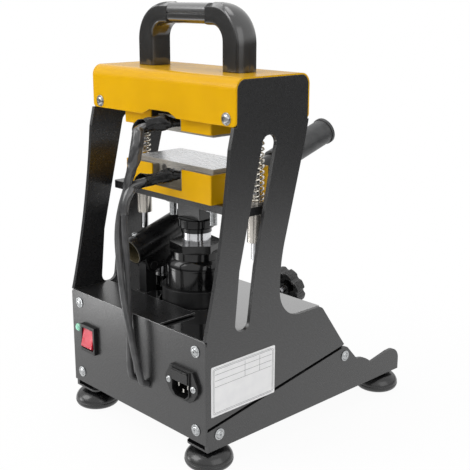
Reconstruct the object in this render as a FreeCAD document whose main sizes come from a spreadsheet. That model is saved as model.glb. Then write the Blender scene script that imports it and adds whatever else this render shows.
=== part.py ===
import FreeCAD, Part
import math
import os
import Sketcher
from FreeCAD import Placement, Rotation, Vector

# Heated twin-plate press: a bottle jack lifts the lower heated plate against the upper one.
# Frame: +X to the operator's right, -Y towards the operator, +Z up, millimetres.
# The origin is on the table, under the middle of the whole machine.
# Reaches are counted from the upright axis of the jack, towards the rear unless said otherwise.

SIZES = {
    # whole machine
    "overall_width": 222.0,
    "press_axis_back": 91.17,
    "plate_gauge": 4.0,
    "panel_gauge": 2.0,
    "cover_gauge": 1.5,
    "sheet_gap": 0.2,
    "run_gap": 0.05,
    "seat_gap": 0.3,
    # base box
    "rear_reach": 86.6,
    "slope_top_reach": 77.6,
    "slope_foot_reach": 125.8,
    "slope_foot_height": 68.8,
    "fascia_lip": 9.0,
    "base_floor": 30.0,
    "deck_top": 134.0,
    "panel_top": 137.0,
    "panel_corner": 4.0,
    "rear_strip_end": 41.0,
    "rear_strip_reach": 39.0,
    "jack_well_radius": 41.0,
    "pump_well_radius": 19.0,
    "tab_width": 20.0,
    "tray_wall": 15.0,
    "fascia_tab_depth": 16.0,
    "fascia_tab_foot": 44.0,
    "fascia_drop": 1.2,
    # side plates
    "seam_rear_height": 45.7,
    "seam_front_height": 78.4,
    "seam_gap": 3.3,
    "deck_corner": 10.0,
    "throat_reach": 13.2,
    "throat_radius": 31.0,
    "waist_height": 176.0,
    "lean_start_reach": 20.5,
    "lean_start_height": 222.0,
    "lean_radius": 176.0,
    "lean_end_reach": 45.0,
    "lean_end_height": 312.0,
    "rear_edge_reach": 55.1,
    "rear_edge_height": 315.2,
    "rear_edge_radius": 1036.0,
    "shoulder_reach": 50.4,
    "slot_foot_front": 29.8,
    "slot_foot_rear": 49.3,
    "slot_foot_height": 136.4,
    "slot_bend_front": 21.5,
    "slot_bend_rear": 43.0,
    "slot_bend_height": 198.0,
    "slot_head_front": -7.2,
    "slot_head_rear": 12.2,
    "slot_head_height": 324.3,
    "slot_corner": 8.6,
    # legs
    "foot_height": 22.0,
    "leg_nose_setback": 4.3,
    "leg_nose_height": 77.2,
    "leg_nose_corner": 8.0,
    "hook_start_run": 15.2,
    "hook_start_height": 56.3,
    "hook_low_reach": 167.0,
    "hook_low_height": 44.3,
    "hook_radius": 35.9,
    "hook_rise_run": 22.0,
    "hook_rise_height": 49.6,
    "toe_reach": 219.0,
    "toe_height": 50.5,
    "toe_corner": 15.0,
    "leg_flange_width": 30.0,
    "leg_flange_gauge": 2.0,
    "leg_flange_corner": 6.0,
    "leg_tab_foot": 31.0,
    "leg_tab_top": 52.0,
    # rubber feet
    "foot_inset": 15.9,
    "foot_radius": 24.65,
    "foot_sole_radius": 17.0,
    "foot_sole_round": 6.42,
    "foot_shoulder_radius": 12.5,
    "foot_neck_radius": 11.0,
    "foot_rim_height": 6.3,
    "foot_waist_height": 18.45,
    "foot_rear_reach": 68.6,
    "foot_toe_setback": 19.2,
    "foot_stud_radius": 3.0,
    "foot_stud_depth": 14.0,
    "foot_nut_radius": 5.8,
    "foot_nut_height": 6.0,
    # screws
    "panel_screw_inset": 14.4,
    "panel_screw_low": 42.6,
    "panel_screw_high": 124.3,
    "side_tab_foot": 108.0,
    "screw_head_radius": 6.0,
    "screw_head_height": 2.6,
    "screw_head_side": 0.9,
    "screw_head_flat": 3.0,
    "screw_head_dome": 3.6,
    "screw_shank_radius": 2.0,
    "screw_length": 9.0,
    "small_head_radius": 3.6,
    "small_head_height": 2.2,
    "small_head_side": 0.8,
    "small_head_flat": 1.8,
    "small_head_dome": 2.2,
    "leg_screw_rear_reach": 69.3,
    "leg_screw_rear_height": 37.7,
    "leg_screw_front_setback": 6.6,
    "leg_screw_front_height": 66.0,
    "cover_screw_inset": 12.7,
    "cover_screw_height": 341.8,
    # head
    "head_bottom": 335.0,
    "head_top": 379.5,
    "head_rear_reach": 48.3,
    "head_front_reach": 50.0,
    "head_bend": 11.0,
    "notch_foot_half": 27.0,
    "notch_top_half": 15.0,
    "notch_height": 5.4,
    "cover_corner": 4.5,
    "head_tab_bottom": 335.6,
    "head_tab_top": 350.4,
    "beam_depth": 76.0,
    "beam_gauge": 12.0,
    # handle
    "handle_half_width": 78.5,
    "handle_leg_width": 25.6,
    "handle_depth": 27.0,
    "handle_top": 444.6,
    "handle_bar_height": 21.7,
    "handle_outer_bend": 39.0,
    "handle_inner_bend": 15.0,
    "handle_grip_half": 29.0,
    "handle_edge": 5.0,
    "handle_bolt_radius": 3.0,
    "handle_bolt_grip": 12.0,
    "handle_bolt_head_radius": 5.5,
    "handle_bolt_head_height": 4.0,
    # heated plates and their housings
    "platen_width": 120.0,
    "platen_depth": 60.0,
    "platen_height": 16.0,
    "platen_edge": 1.0,
    "lower_platen_top": 286.9,
    "press_opening": 31.3,
    "platen_stand_out": 3.7,
    "housing_side_margin": 7.5,
    "housing_end_margin": 9.6,
    "housing_height": 29.6,
    "housing_gauge": 1.5,
    "housing_notch_half": 23.5,
    "housing_notch_sill": 7.5,
    "insulator_recess": 9.0,
    "heater_radius": 4.0,
    "heater_length": 52.0,
    "heater_spread": 30.0,
    "probe_radius": 2.0,
    "probe_length": 24.0,
    # moving plate
    "plate_side_gap": 7.0,
    "moving_plate_depth": 66.6,
    "moving_plate_gauge": 8.2,
    "moving_plate_corner": 3.0,
    "bolt_spread": 64.2,
    "bolt_reach": 4.8,
    "bolt_tail": 14.9,
    "upper_bolt_tail": 4.0,
    "bolt_radius": 4.0,
    "bolt_head_radius": 7.5,
    "bolt_head_height": 5.3,
    "washer_radius": 8.0,
    "washer_gauge": 1.6,
    "bolt_bite": 8.0,
    "seat_block_width": 34.4,
    "seat_block_depth": 22.2,
    # guides and springs
    "guide_offset": -1.35,
    "guide_radius": 4.0,
    "guide_foot": 196.5,
    "guide_nut_radius": 7.5,
    "guide_nut_height": 6.5,
    "bushing_radius": 8.2,
    "bushing_foot": 214.8,
    "bushing_collar_radius": 10.0,
    "bushing_collar_height": 3.0,
    "spring_radius": 7.6,
    "spring_wire_radius": 1.0,
    "spring_turns": 17,
    "spring_end_run": 4.5,
    # jack
    "shelf_top": 76.0,
    "shelf_gauge": 10.0,
    "shelf_depth": 120.0,
    "jack_base_width": 84.0,
    "jack_base_depth": 92.0,
    "jack_base_height": 32.0,
    "jack_base_corner": 14.0,
    "base_cup_radius": 37.5,
    "base_cup_top": 151.0,
    "pump_boss_radius": 15.0,
    "reservoir_radius": 33.0,
    "reservoir_wall": 3.0,
    "reservoir_shoulder_low": 171.0,
    "reservoir_shoulder_high": 182.0,
    "reservoir_shoulder_radius": 11.6,
    "collar_radius": 28.0,
    "collar_top": 190.0,
    "gland_flats": 50.0,
    "gland_top": 198.2,
    "gland_turn": 49.0,
    "ram_radius": 15.5,
    "saddle_radius": 19.5,
    "saddle_collar_radius": 16.4,
    "saddle_collar_height": 5.0,
    "saddle_foot": 214.2,
    "saddle_top": 224.2,
    "ram_foot": 124.0,
    "cylinder_wall": 5.0,
    "filler_radius": 4.5,
    "filler_height": 161.0,
    "filler_length": 4.0,
    # pump and lever
    "pump_side": 57.7,
    "pump_reach": 0.0,
    "barrel_radius": 11.0,
    "barrel_top": 148.0,
    "barrel_shoulder": 138.0,
    "barrel_neck_radius": 9.0,
    "plunger_radius": 6.0,
    "plunger_foot": 124.0,
    "plunger_eye_height": 13.0,
    "plunger_eye_width": 12.0,
    "plunger_eye_depth": 15.0,
    "pin_radius": 3.0,
    "pin_head_radius": 4.6,
    "pin_head_gauge": 1.5,
    "pin_slot_room": 1.65,
    "cheek_margin": 6.5,
    "cheek_top_drop": 11.2,
    "plunger_pin_height": 168.7,
    "fulcrum_reach": 22.0,
    "fulcrum_height": 164.7,
    "link_depth": 14.0,
    "link_width": 12.0,
    "link_corner": 6.3,
    "cheek_gauge": 4.0,
    "cheek_gap": 0.4,
    "lever_tilt": 17.92,
    "lever_height_at_fulcrum": 188.5,
    "socket_rear_run": 22.8,
    "socket_front_run": 52.0,
    "socket_radius": 14.9,
    "tube_radius": 12.7,
    "tube_wall": 2.0,
    "socket_depth": 26.0,
    "lever_front_run": 307.6,
    "grip_length": 100.0,
    "grip_wall": 3.2,
    "grip_cap": 5.0,
    "grip_lip": 1.2,
    # release valve
    "valve_tilt": 16.0,
    "knob_reach": 136.5,
    "knob_height": 112.7,
    "knob_radius": 24.0,
    "knob_thickness": 13.0,
    "knob_lobes": 8,
    "knob_turn": 6.0,
    "knob_valley_radius": 4.6,
    "knob_valley_depth": 3.0,
    "knob_wall": 3.0,
    "knob_hub_radius": 7.0,
    "spindle_radius": 4.0,
    "spindle_run": 104.0,
    "spindle_hole_radius": 6.0,
    "valve_bore_run": 68.0,
    # switch, lamp and inlet
    "switch_inset": 32.7,
    "switch_height": 87.1,
    "bezel_width": 25.5,
    "bezel_height": 31.0,
    "bezel_stand_out": 4.4,
    "switch_body_width": 22.5,
    "switch_body_height": 27.0,
    "switch_body_depth": 22.0,
    "rocker_half_width": 9.6,
    "rocker_radius": 11.6,
    "rocker_hinge_depth": 1.0,
    "rocker_proud_end": 7.5,
    "rocker_waist": 5.2,
    "rocker_pressed_end": 3.3,
    "rocker_back": 4.0,
    "rocker_gap": 0.4,
    "rocker_room": 7.6,
    "lamp_inset": 10.6,
    "lamp_height": 94.4,
    "lamp_radius": 4.4,
    "lamp_stand_out": 3.5,
    "lamp_rim": 1.0,
    "lamp_body_radius": 3.4,
    "lamp_body_depth": 18.0,
    "inlet_inset": 32.4,
    "inlet_height": 86.0,
    "inlet_width": 26.4,
    "inlet_tall": 30.6,
    "inlet_case_rise": 0.9,
    "inlet_chamfer": 5.0,
    "inlet_stand_out": 4.8,
    "inlet_ear_reach": 24.0,
    "inlet_ear_gauge": 3.2,
    "inlet_ear_tip_half": 3.0,
    "inlet_ear_top_reach": 16.4,
    "inlet_ear_top_rise": 16.6,
    "inlet_ear_waist_reach": 18.4,
    "inlet_ear_waist_drop": 11.5,
    "inlet_ear_foot_reach": 12.6,
    "inlet_ear_foot_drop": 16.0,
    "inlet_screw_reach": 18.2,
    "inlet_depth": 24.0,
    "socket_width": 24.4,
    "socket_height": 15.5,
    "socket_depth_inlet": 17.0,
    "socket_drop": 5.45,
    "socket_chamfer": 5.2,
    "blade_width": 2.0,
    "blade_height": 4.0,
    "blade_spread": 7.0,
    "blade_offset": 5.0,
    "blade_recess": 4.4,
    "drawer_width": 23.0,
    "drawer_height": 12.0,
    "drawer_rise": 9.2,
    "drawer_depth": 18.0,
    "drawer_proud": 0.8,
    "drawer_rib_gauge": 0.8,
    "drawer_rib_proud": 0.8,
    "drawer_travel_room": 0.5,
    "fuse_radius": 2.5,
    "fuse_length": 13.0,
    "fuse_setback": 4.8,
    # heater leads
    "lead_radius": 3.4,
    "grommet_radius": 7.0,
    "grommet_gauge": 2.0,
    "lead_hole_height": 68.0,
    "upper_lead_hole_x": -23.9,
    "lower_lead_hole_x": -3.9,
    "sleeve_radius": 6.6,
    "sleeve_bore_radius": 4.9,
    "sleeve_throat_radius": 3.8,
    "sleeve_mouth_depth": 9.0,
    "sleeve_taper_run": 4.5,
    "sleeve_inner_run": 5.0,
    "sleeve_outer_run": 34.0,
    "sleeve_turn": 38.0,
    "sleeve_x": -13.0,
    "upper_sleeve_height": 331.2,
    "lower_sleeve_height": 275.5,
    # rating plate
    "label_rear_reach": 80.0,
    "label_front_reach": -7.0,
    "label_bottom": 58.0,
    "label_top": 110.0,
    "label_gauge": 0.5,
    # control face
    "control_x": 62.0,
    "control_run": 40.0,
    "control_width": 72.0,
    "control_height": 36.0,
    "control_stand_out": 3.0,
    "control_depth": 28.0,
    "control_body_margin": 2.5,
    "window_width": 44.0,
    "window_height": 17.0,
    "window_rise": 6.0,
    "window_gauge": 1.2,
    "button_radius": 3.2,
    "button_stand_out": 1.5,
    "button_spread": 15.0,
    "button_drop": 11.0,
    # inside the base box
    "relay_width": 45.0,
    "relay_depth": 58.0,
    "relay_height": 23.0,
    "relay_x": 58.0,
    "relay_reach": -55.0,
    "terminal_width": 60.0,
    "terminal_depth": 17.0,
    "terminal_height": 14.0,
    "terminal_reach": 20.0,
}

doc = FreeCAD.newDocument("Press")
sheet = doc.addObject("Spreadsheet::Sheet", "Dims")


class Size:
    """A dimension: its value and the sheet expression that gives it."""

    def __init__(self, value, text):
        self.value = float(value)
        self.text = text

    def __add__(self, other):
        return joined(self, other, "+", lambda a, b: a + b)

    def __radd__(self, other):
        return joined(other, self, "+", lambda a, b: a + b)

    def __sub__(self, other):
        return joined(self, other, "-", lambda a, b: a - b)

    def __rsub__(self, other):
        return joined(other, self, "-", lambda a, b: a - b)

    def __mul__(self, other):
        return joined(self, other, "*", lambda a, b: a * b)

    def __rmul__(self, other):
        return joined(other, self, "*", lambda a, b: a * b)

    def __truediv__(self, other):
        return joined(self, other, "/", lambda a, b: a / b)

    def __neg__(self):
        return joined(0, self, "-", lambda a, b: a - b)


def as_size(item):
    if isinstance(item, Size):
        return item
    return Size(item, "(%r)" % float(item))


def joined(left, right, sign, rule):
    left, right = as_size(left), as_size(right)
    text = "(%s %s %s)" % (left.text, sign, right.text)
    return Size(rule(left.value, right.value), text)


def root_of(size):
    return Size(math.sqrt(size.value), "sqrt(%s)" % size.text)


def sine(angle):
    return Size(math.sin(math.radians(angle.value)), "sin(%s)" % angle.text)


def cosine(angle):
    return Size(math.cos(math.radians(angle.value)), "cos(%s)" % angle.text)


class Dimensions:
    """The spreadsheet's named cells."""

    def __init__(self, values):
        for row, (name, value) in enumerate(values.items(), start=1):
            sheet.set("A%d" % row, name)
            sheet.set("B%d" % row, repr(value))
            sheet.setAlias("B%d" % row, name)
            setattr(self, name, Size(value, "Dims." + name))


d = Dimensions(SIZES)
doc.recompute()
ZERO = as_size(0.0)
nodes = {}


def back(reach):
    """The row's Y of a point that lies `reach` behind the jack's axis."""
    return d.press_axis_back + reach


def ahead(reach):
    """The row's Y of a point that lies `reach` in front of the jack's axis."""
    return d.press_axis_back - reach


def keep(label, thing):
    """Names a finished sub-part."""
    thing.Label = label
    nodes[label] = thing
    return thing


def bind(thing, values):
    for name, size in values.items():
        thing.setExpression(name, as_size(size).text)


def place(thing, at, turn=None):
    """Puts a primitive's origin at a sized point, turned if asked."""
    if turn is not None:
        thing.Placement = Placement(Vector(0, 0, 0), turn)
    for axis, size in zip("xyz", at):
        thing.setExpression("Placement.Base." + axis, as_size(size).text)
    return thing


TURNS = {
    "Z": Rotation(),
    "X": Rotation(Vector(0, 1, 0), 90),
    "Y": Rotation(Vector(1, 0, 0), -90),
    "-Y": Rotation(Vector(1, 0, 0), 90),
    "-X": Rotation(Vector(0, 1, 0), -90),
}


def cylinder(name, radius, height, at, axis="Z"):
    rod = doc.addObject("Part::Cylinder", name)
    bind(rod, {"Radius": radius, "Height": height})
    return place(rod, at, TURNS[axis])


def block(name, low, high):
    box = doc.addObject("Part::Box", name)
    bind(box, {"Length": high[0] - low[0], "Width": high[1] - low[1], "Height": high[2] - low[2]})
    return place(box, low)


def fused(name, pieces):
    whole = doc.addObject("Part::MultiFuse", name)
    whole.Shapes = pieces
    return whole


def minus(name, base, tool):
    rest = doc.addObject("Part::Cut", name)
    rest.Base = base
    rest.Tool = tool
    return rest


def group(name, pieces):
    together = doc.addObject("Part::Compound", name)
    together.Links = pieces
    return together


def copy_of(thing, name, at, turn=None):
    twin = doc.addObject("App::Link", name)
    twin.LinkedObject = thing
    twin.LinkPlacement = Placement(Vector(0, 0, 0), turn or Rotation())
    for axis, size in zip("xyz", at):
        twin.setExpression("LinkPlacement.Base." + axis, as_size(size).text)
    return twin


def new_body(name):
    return doc.addObject("PartDesign::Body", name)


def origin_plane(body, role):
    for feature in body.Origin.OriginFeatures:
        if feature.Role == role:
            return feature
    raise ValueError(role)


def new_sketch(body, plane, shift):
    """A sketch parallel to an origin plane; shift is along the plane's own normal."""
    sketch = body.newObject("Sketcher::SketchObject", body.Name + "_sketch")
    sketch.AttachmentSupport = [(origin_plane(body, plane + "_Plane"), "")]
    sketch.MapMode = "FlatFace"
    for axis, size in zip("xyz", shift):
        sketch.setExpression("AttachmentOffset.Base." + axis, as_size(size).text)
    return sketch


def fix_point(sketch, geometry, corner, point):
    for kind, size in zip(("DistanceX", "DistanceY"), point):
        size = as_size(size)
        rule = Sketcher.Constraint(kind, -1, 1, geometry, corner, size.value)
        index = sketch.addConstraint(rule)
        sketch.setExpression("Constraints[%d]" % index, size.text)


def draw(sketch, outline):
    """Closes an outline of sized points; a third entry is the radius of the arc that leads there."""
    spots = [Vector(as_size(p[0]).value, as_size(p[1]).value, 0) for p in outline]
    count = len(outline)
    first = sketch.GeometryCount
    starts = []
    for i in range(count):
        start, end, entry = spots[i], spots[(i + 1) % count], outline[(i + 1) % count]
        if len(entry) == 3:
            curve, swapped = drawn_arc(start, end, as_size(entry[2]).value)
            sketch.addGeometry(curve)
            starts.append(2 if swapped else 1)
            size = as_size(entry[2])
            index = sketch.addConstraint(Sketcher.Constraint("Radius", first + i, abs(size.value)))
            sketch.setExpression("Constraints[%d]" % index, (size if size.value > 0 else -size).text)
        else:
            sketch.addGeometry(Part.LineSegment(start, end))
            starts.append(1)
    for i in range(count):
        following = (i + 1) % count
        ends = (first + i, 3 - starts[i], first + following, starts[following])
        sketch.addConstraint(Sketcher.Constraint("Coincident", *ends))
        fix_point(sketch, first + i, starts[i], outline[i][:2])


def drawn_arc(start, end, radius):
    """The arc as sketch geometry, and whether its own start is the outline's end."""
    chord = end - start
    rise = math.sqrt(max(radius * radius - chord.Length ** 2 / 4.0, 0.0))
    normal = Vector(-chord.y, chord.x, 0).normalize()
    centre = (start + end) * 0.5 + normal * math.copysign(rise, radius)
    swapped = radius < 0
    low, high = (end, start) if swapped else (start, end)
    first = math.atan2(low.y - centre.y, low.x - centre.x)
    last = math.atan2(high.y - centre.y, high.x - centre.x)
    if last < first:
        last += 2 * math.pi
    circle = Part.Circle(centre, Vector(0, 0, 1), abs(radius))
    return Part.ArcOfCircle(circle, first, last), swapped


def draw_circle(sketch, x, y, radius):
    x, y, radius = as_size(x), as_size(y), as_size(radius)
    circle = Part.Circle(Vector(x.value, y.value, 0), Vector(0, 0, 1), radius.value)
    index = sketch.addGeometry(circle)
    fix_point(sketch, index, 3, (x, y))
    rule = sketch.addConstraint(Sketcher.Constraint("Radius", index, radius.value))
    sketch.setExpression("Constraints[%d]" % rule, radius.text)


def rectangle(low, high):
    return [(low[0], low[1]), (high[0], low[1]), (high[0], high[1]), (low[0], high[1])]


def extrude(body, plane, low, high, outlines=(), circles=(), cutting=False):
    """Pads, or with cutting pockets, the outlines from low to high along the plane's row axis."""
    facing_back = plane == "XZ"
    near = high if cutting != facing_back else low
    shift = -as_size(near) if facing_back else near
    sketch = new_sketch(body, plane, (ZERO, ZERO, shift))
    for outline in outlines:
        draw(sketch, outline)
    for x, y, radius in circles:
        draw_circle(sketch, x, y, radius)
    kind = "PartDesign::Pocket" if cutting else "PartDesign::Pad"
    feature = body.newObject(kind, body.Name + "_step")
    feature.Profile = sketch
    feature.setExpression("Length", (as_size(high) - low).text)
    body.Tip = feature
    return feature


def cut(body, plane, low, high, outlines=(), circles=()):
    return extrude(body, plane, low, high, outlines, circles, cutting=True)


def revolve(body, outline, centre):
    """Turns a half outline of (radius, height) points about an upright axis at centre (x, y)."""
    sketch = new_sketch(body, "XZ", (centre[0], ZERO, -as_size(centre[1])))
    draw(sketch, outline)
    feature = body.newObject("PartDesign::Revolution", body.Name + "_turned")
    feature.Profile = sketch
    feature.ReferenceAxis = (sketch, ["V_Axis"])
    feature.Angle = 360
    body.Tip = feature
    return feature


def round_edges(body, radius, chooser):
    """Rounds the edges of the body's last feature that chooser accepts."""
    doc.recompute()
    base = body.Tip
    picked = ["Edge%d" % (i + 1) for i, edge in enumerate(base.Shape.Edges) if chooser(edge)]
    feature = body.newObject("PartDesign::Fillet", body.Name + "_round")
    feature.Base = (base, picked)
    feature.setExpression("Radius", as_size(radius).text)
    body.Tip = feature
    return feature


def edges_through(axis, points):
    """Accepts straight edges along a row axis that pass through one of the sized points."""
    others = [i for i in range(3) if i != axis]
    wanted = [(as_size(p[0]).value, as_size(p[1]).value) for p in points]

    def chooser(edge):
        ends = [v.Point for v in edge.Vertexes]
        if len(ends) != 2 or abs(abs((ends[1] - ends[0])[axis]) - edge.Length) > 1e-4:
            return False
        spot = (ends[0][others[0]], ends[0][others[1]])
        return any(math.dist(spot, goal) < 0.01 for goal in wanted)

    return chooser


half_width = d.overall_width / 2
inner_half = half_width - d.plate_gauge
rear_face = back(d.rear_reach)
rear_inside = rear_face - d.panel_gauge
screw_hole = d.screw_shank_radius + d.sheet_gap
housing_width = d.platen_width + d.housing_side_margin * 2
housing_depth = d.platen_depth + d.housing_end_margin * 2
switch_x = half_width - d.switch_inset
lamp_x = half_width - d.lamp_inset
inlet_x = d.inlet_inset - half_width
leg_screw_front_reach = d.slope_foot_reach - d.leg_screw_front_setback
leg_nose_reach = d.slope_foot_reach - d.leg_nose_setback
hook_start_reach = d.slope_foot_reach + d.hook_start_run
hook_rise_reach = d.toe_reach - d.hook_rise_run
foot_front_reach = d.toe_reach - d.foot_toe_setback
slope_lean = (d.slope_foot_reach - d.slope_top_reach) / (d.deck_top - d.slope_foot_height)


def slope_y(height):
    """The row's Y of the sloping control face at a height."""
    return ahead(d.slope_top_reach + slope_lean * (d.deck_top - height))


def spans(side, inner, outer):
    """X limits of something that reaches from inner to outer on the left (-1) or right (+1)."""
    return (inner, outer) if side > 0 else (-as_size(outer), -as_size(inner))


def side_plate_outline():
    crown_front = ahead(d.head_front_reach) + d.cover_gauge + d.sheet_gap
    crown_rear = back(d.head_rear_reach) - d.cover_gauge - d.sheet_gap
    crown = d.head_top - d.cover_gauge - d.sheet_gap
    step = d.head_bottom - d.sheet_gap
    seam_front = d.seam_front_height + d.seam_gap / 2
    return [
        (rear_inside, d.seam_rear_height + d.seam_gap / 2),
        (slope_y(seam_front), seam_front),
        (ahead(d.slope_top_reach), d.deck_top),
        (ahead(d.throat_reach), d.deck_top),
        (ahead(d.throat_reach), d.waist_height),
        (ahead(d.lean_start_reach), d.lean_start_height, d.lean_radius),
        (ahead(d.lean_end_reach), d.lean_end_height),
        (ahead(d.head_front_reach), step),
        (crown_front, step),
        (crown_front, crown),
        (crown_rear, crown),
        (crown_rear, step),
        (back(d.shoulder_reach), step),
        (back(d.rear_edge_reach), d.rear_edge_height),
        (rear_face, d.panel_top + d.sheet_gap, d.rear_edge_radius),
        (rear_inside, d.panel_top + d.sheet_gap),
    ]


def slot_outline():
    return [
        (back(d.slot_foot_front), d.slot_foot_height),
        (back(d.slot_foot_rear), d.slot_foot_height),
        (back(d.slot_bend_rear), d.slot_bend_height),
        (back(d.slot_head_rear), d.slot_head_height),
        (back(d.slot_head_front), d.slot_head_height),
        (back(d.slot_bend_front), d.slot_bend_height),
    ]


def make_side_plate(label, side):
    body = new_body(label)
    low, high = spans(side, inner_half, half_width)
    outline, slot = side_plate_outline(), slot_outline()
    extrude(body, "YZ", low, high, [outline, slot])
    crown_corners = [outline[9], outline[10]]
    round_edges(body, d.head_bend - d.cover_gauge, edges_through(0, crown_corners))
    round_edges(body, d.throat_radius, edges_through(0, [outline[3]]))
    round_edges(body, d.deck_corner, edges_through(0, [outline[2]]))
    slot_corners = [slot[0], slot[1], slot[3], slot[4]]
    round_edges(body, d.slot_corner, edges_through(0, slot_corners))
    tab_low, tab_high = spans(side, inner_half - d.tab_width, inner_half)
    tab_foot = d.side_tab_foot
    tab_top = d.deck_top - d.panel_gauge - d.sheet_gap
    tab = rectangle((tab_low, tab_foot), (tab_high, tab_top))
    hole = (side * (half_width - d.panel_screw_inset), d.panel_screw_high, screw_hole)
    extrude(body, "XZ", rear_inside - d.plate_gauge, rear_inside, [tab], [hole])
    head_tab = rectangle((tab_low, d.head_tab_bottom), (tab_high, d.head_tab_top))
    head_hole = (side * (half_width - d.cover_screw_inset), d.cover_screw_height, screw_hole)
    crown_rear, crown_front = outline[10][0], outline[9][0]
    extrude(body, "XZ", crown_rear - d.plate_gauge, crown_rear, [head_tab], [head_hole])
    extrude(body, "XZ", crown_front, crown_front + d.plate_gauge, [head_tab], [head_hole])
    return keep(label, body)


def leg_outline():
    return [
        (rear_inside, d.foot_height),
        (ahead(d.toe_reach), d.foot_height),
        (ahead(d.toe_reach), d.toe_height),
        (ahead(hook_rise_reach), d.hook_rise_height),
        (ahead(d.hook_low_reach), d.hook_low_height),
        (ahead(hook_start_reach), d.hook_start_height, -d.hook_radius),
        (ahead(leg_nose_reach), d.leg_nose_height),
        (rear_inside, d.seam_rear_height - d.seam_gap / 2),
    ]


def make_leg(label, side):
    body = new_body(label)
    low, high = spans(side, inner_half, half_width)
    outline = leg_outline()
    holes = [
        (back(d.leg_screw_rear_reach), d.leg_screw_rear_height, screw_hole),
        (ahead(leg_screw_front_reach), d.leg_screw_front_height, screw_hole),
    ]
    extrude(body, "YZ", low, high, [outline], holes)
    round_edges(body, d.toe_corner, edges_through(0, [outline[2]]))
    round_edges(body, d.leg_nose_corner, edges_through(0, [outline[6]]))
    flange_low, flange_high = spans(side, inner_half - d.leg_flange_width, inner_half)
    flange = rectangle((flange_low, ahead(d.toe_reach)), (flange_high, rear_inside))
    foot_x = side * (half_width - d.foot_inset)
    stud_holes = [
        (foot_x, back(d.foot_rear_reach), d.foot_stud_radius + d.sheet_gap),
        (foot_x, ahead(foot_front_reach), d.foot_stud_radius + d.sheet_gap),
    ]
    extrude(body, "XY", d.foot_height, d.foot_height + d.leg_flange_gauge, [flange], stud_holes)
    inner_edge = flange_low if side > 0 else flange_high
    round_edges(body, d.leg_flange_corner, edges_through(2, [(inner_edge, rear_inside)]))
    tab_low, tab_high = spans(side, inner_half - d.tab_width, inner_half)
    tab = rectangle((tab_low, d.leg_tab_foot), (tab_high, d.leg_tab_top))
    hole = (side * (half_width - d.panel_screw_inset), d.panel_screw_low, screw_hole)
    extrude(body, "XZ", rear_inside - d.plate_gauge, rear_inside, [tab], [hole])
    return keep(label, body)


def make_rear_panel():
    body = new_body("rear_panel")
    outline = rectangle((-half_width, d.base_floor), (half_width, d.panel_top))
    screw_x = half_width - d.panel_screw_inset
    heights = (d.panel_screw_low, d.panel_screw_high)
    screws = [(s * screw_x, z, screw_hole) for s in (-1, 1) for z in heights]
    neck = d.grommet_radius - d.grommet_gauge + d.sheet_gap
    leads = [(x, d.lead_hole_height, neck) for x in (d.upper_lead_hole_x, d.lower_lead_hole_x)]
    lamp = (lamp_x, d.lamp_height, d.lamp_body_radius + d.sheet_gap)
    inlet_screws = [(inlet_x + s * d.inlet_screw_reach, d.inlet_height, screw_hole) for s in (-1, 1)]
    switch_half = (d.switch_body_width / 2 + d.sheet_gap, d.switch_body_height / 2 + d.sheet_gap)
    switch = rectangle((switch_x - switch_half[0], d.switch_height - switch_half[1]),
                       (switch_x + switch_half[0], d.switch_height + switch_half[1]))
    inlet_half = (d.inlet_width / 2 + d.sheet_gap, d.inlet_tall / 2 + d.sheet_gap)
    inlet_z = d.inlet_height + d.inlet_case_rise
    inlet = rectangle((inlet_x - inlet_half[0], inlet_z - inlet_half[1]),
                      (inlet_x + inlet_half[0], inlet_z + inlet_half[1]))
    circles = screws + leads + [lamp] + inlet_screws
    extrude(body, "XZ", rear_inside, rear_face, [outline, switch, inlet], circles)
    corners = [(-half_width, d.panel_top), (half_width, d.panel_top)]
    round_edges(body, d.panel_corner, edges_through(1, corners))
    strip = rectangle((-d.rear_strip_end, back(d.rear_strip_reach)), (inner_half - d.sheet_gap, rear_inside))
    extrude(body, "XY", d.panel_top - d.panel_gauge, d.panel_top, [strip])
    return keep("rear_panel", body)


slope_rise = d.deck_top - d.slope_foot_height
slope_run = d.slope_foot_reach - d.slope_top_reach
slope_length = root_of(slope_rise * slope_rise + slope_run * slope_run)
slope_cosine = slope_run / slope_length
slope_sine = slope_rise / slope_length
slope_turn = Rotation(Vector(1, 0, 0), math.degrees(math.atan2(slope_rise.value, slope_run.value)))


def on_slope(x, down, out):
    """A point of the control face: x across, `down` from its top edge, `out` along its normal."""
    y = ahead(d.slope_top_reach) - down * slope_cosine - out * slope_sine
    z = d.deck_top - down * slope_sine + out * slope_cosine
    return x, y, z


def slope_block(name, x, down, width, height, low_out, high_out):
    """A box square to the control face, centred on (x, down), between two distances along its normal."""
    box = doc.addObject("Part::Box", name)
    bind(box, {"Length": width, "Width": height, "Height": as_size(high_out) - low_out})
    corner = on_slope(x - as_size(width) / 2, down + as_size(height) / 2, as_size(low_out))
    return place(box, corner, slope_turn)


def slope_rod(name, x, down, radius, low_out, high_out):
    rod = doc.addObject("Part::Cylinder", name)
    bind(rod, {"Radius": radius, "Height": as_size(high_out) - low_out})
    return place(rod, on_slope(x, down, as_size(low_out)), slope_turn)


valve_turn = Rotation(Vector(1, 0, 0), 90.0 - d.valve_tilt.value)
valve_cosine, valve_sine = cosine(d.valve_tilt), sine(d.valve_tilt)


def on_valve(run):
    """A point of the release valve's axis, `run` forward from the back of its knob."""
    return ZERO, ahead(d.knob_reach + run * valve_cosine), d.knob_height + run * valve_sine


def valve_rod(name, radius, low_run, high_run):
    rod = doc.addObject("Part::Cylinder", name)
    bind(rod, {"Radius": radius, "Height": as_size(high_run) - low_run})
    return place(rod, on_valve(as_size(low_run)), valve_turn)


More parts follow.
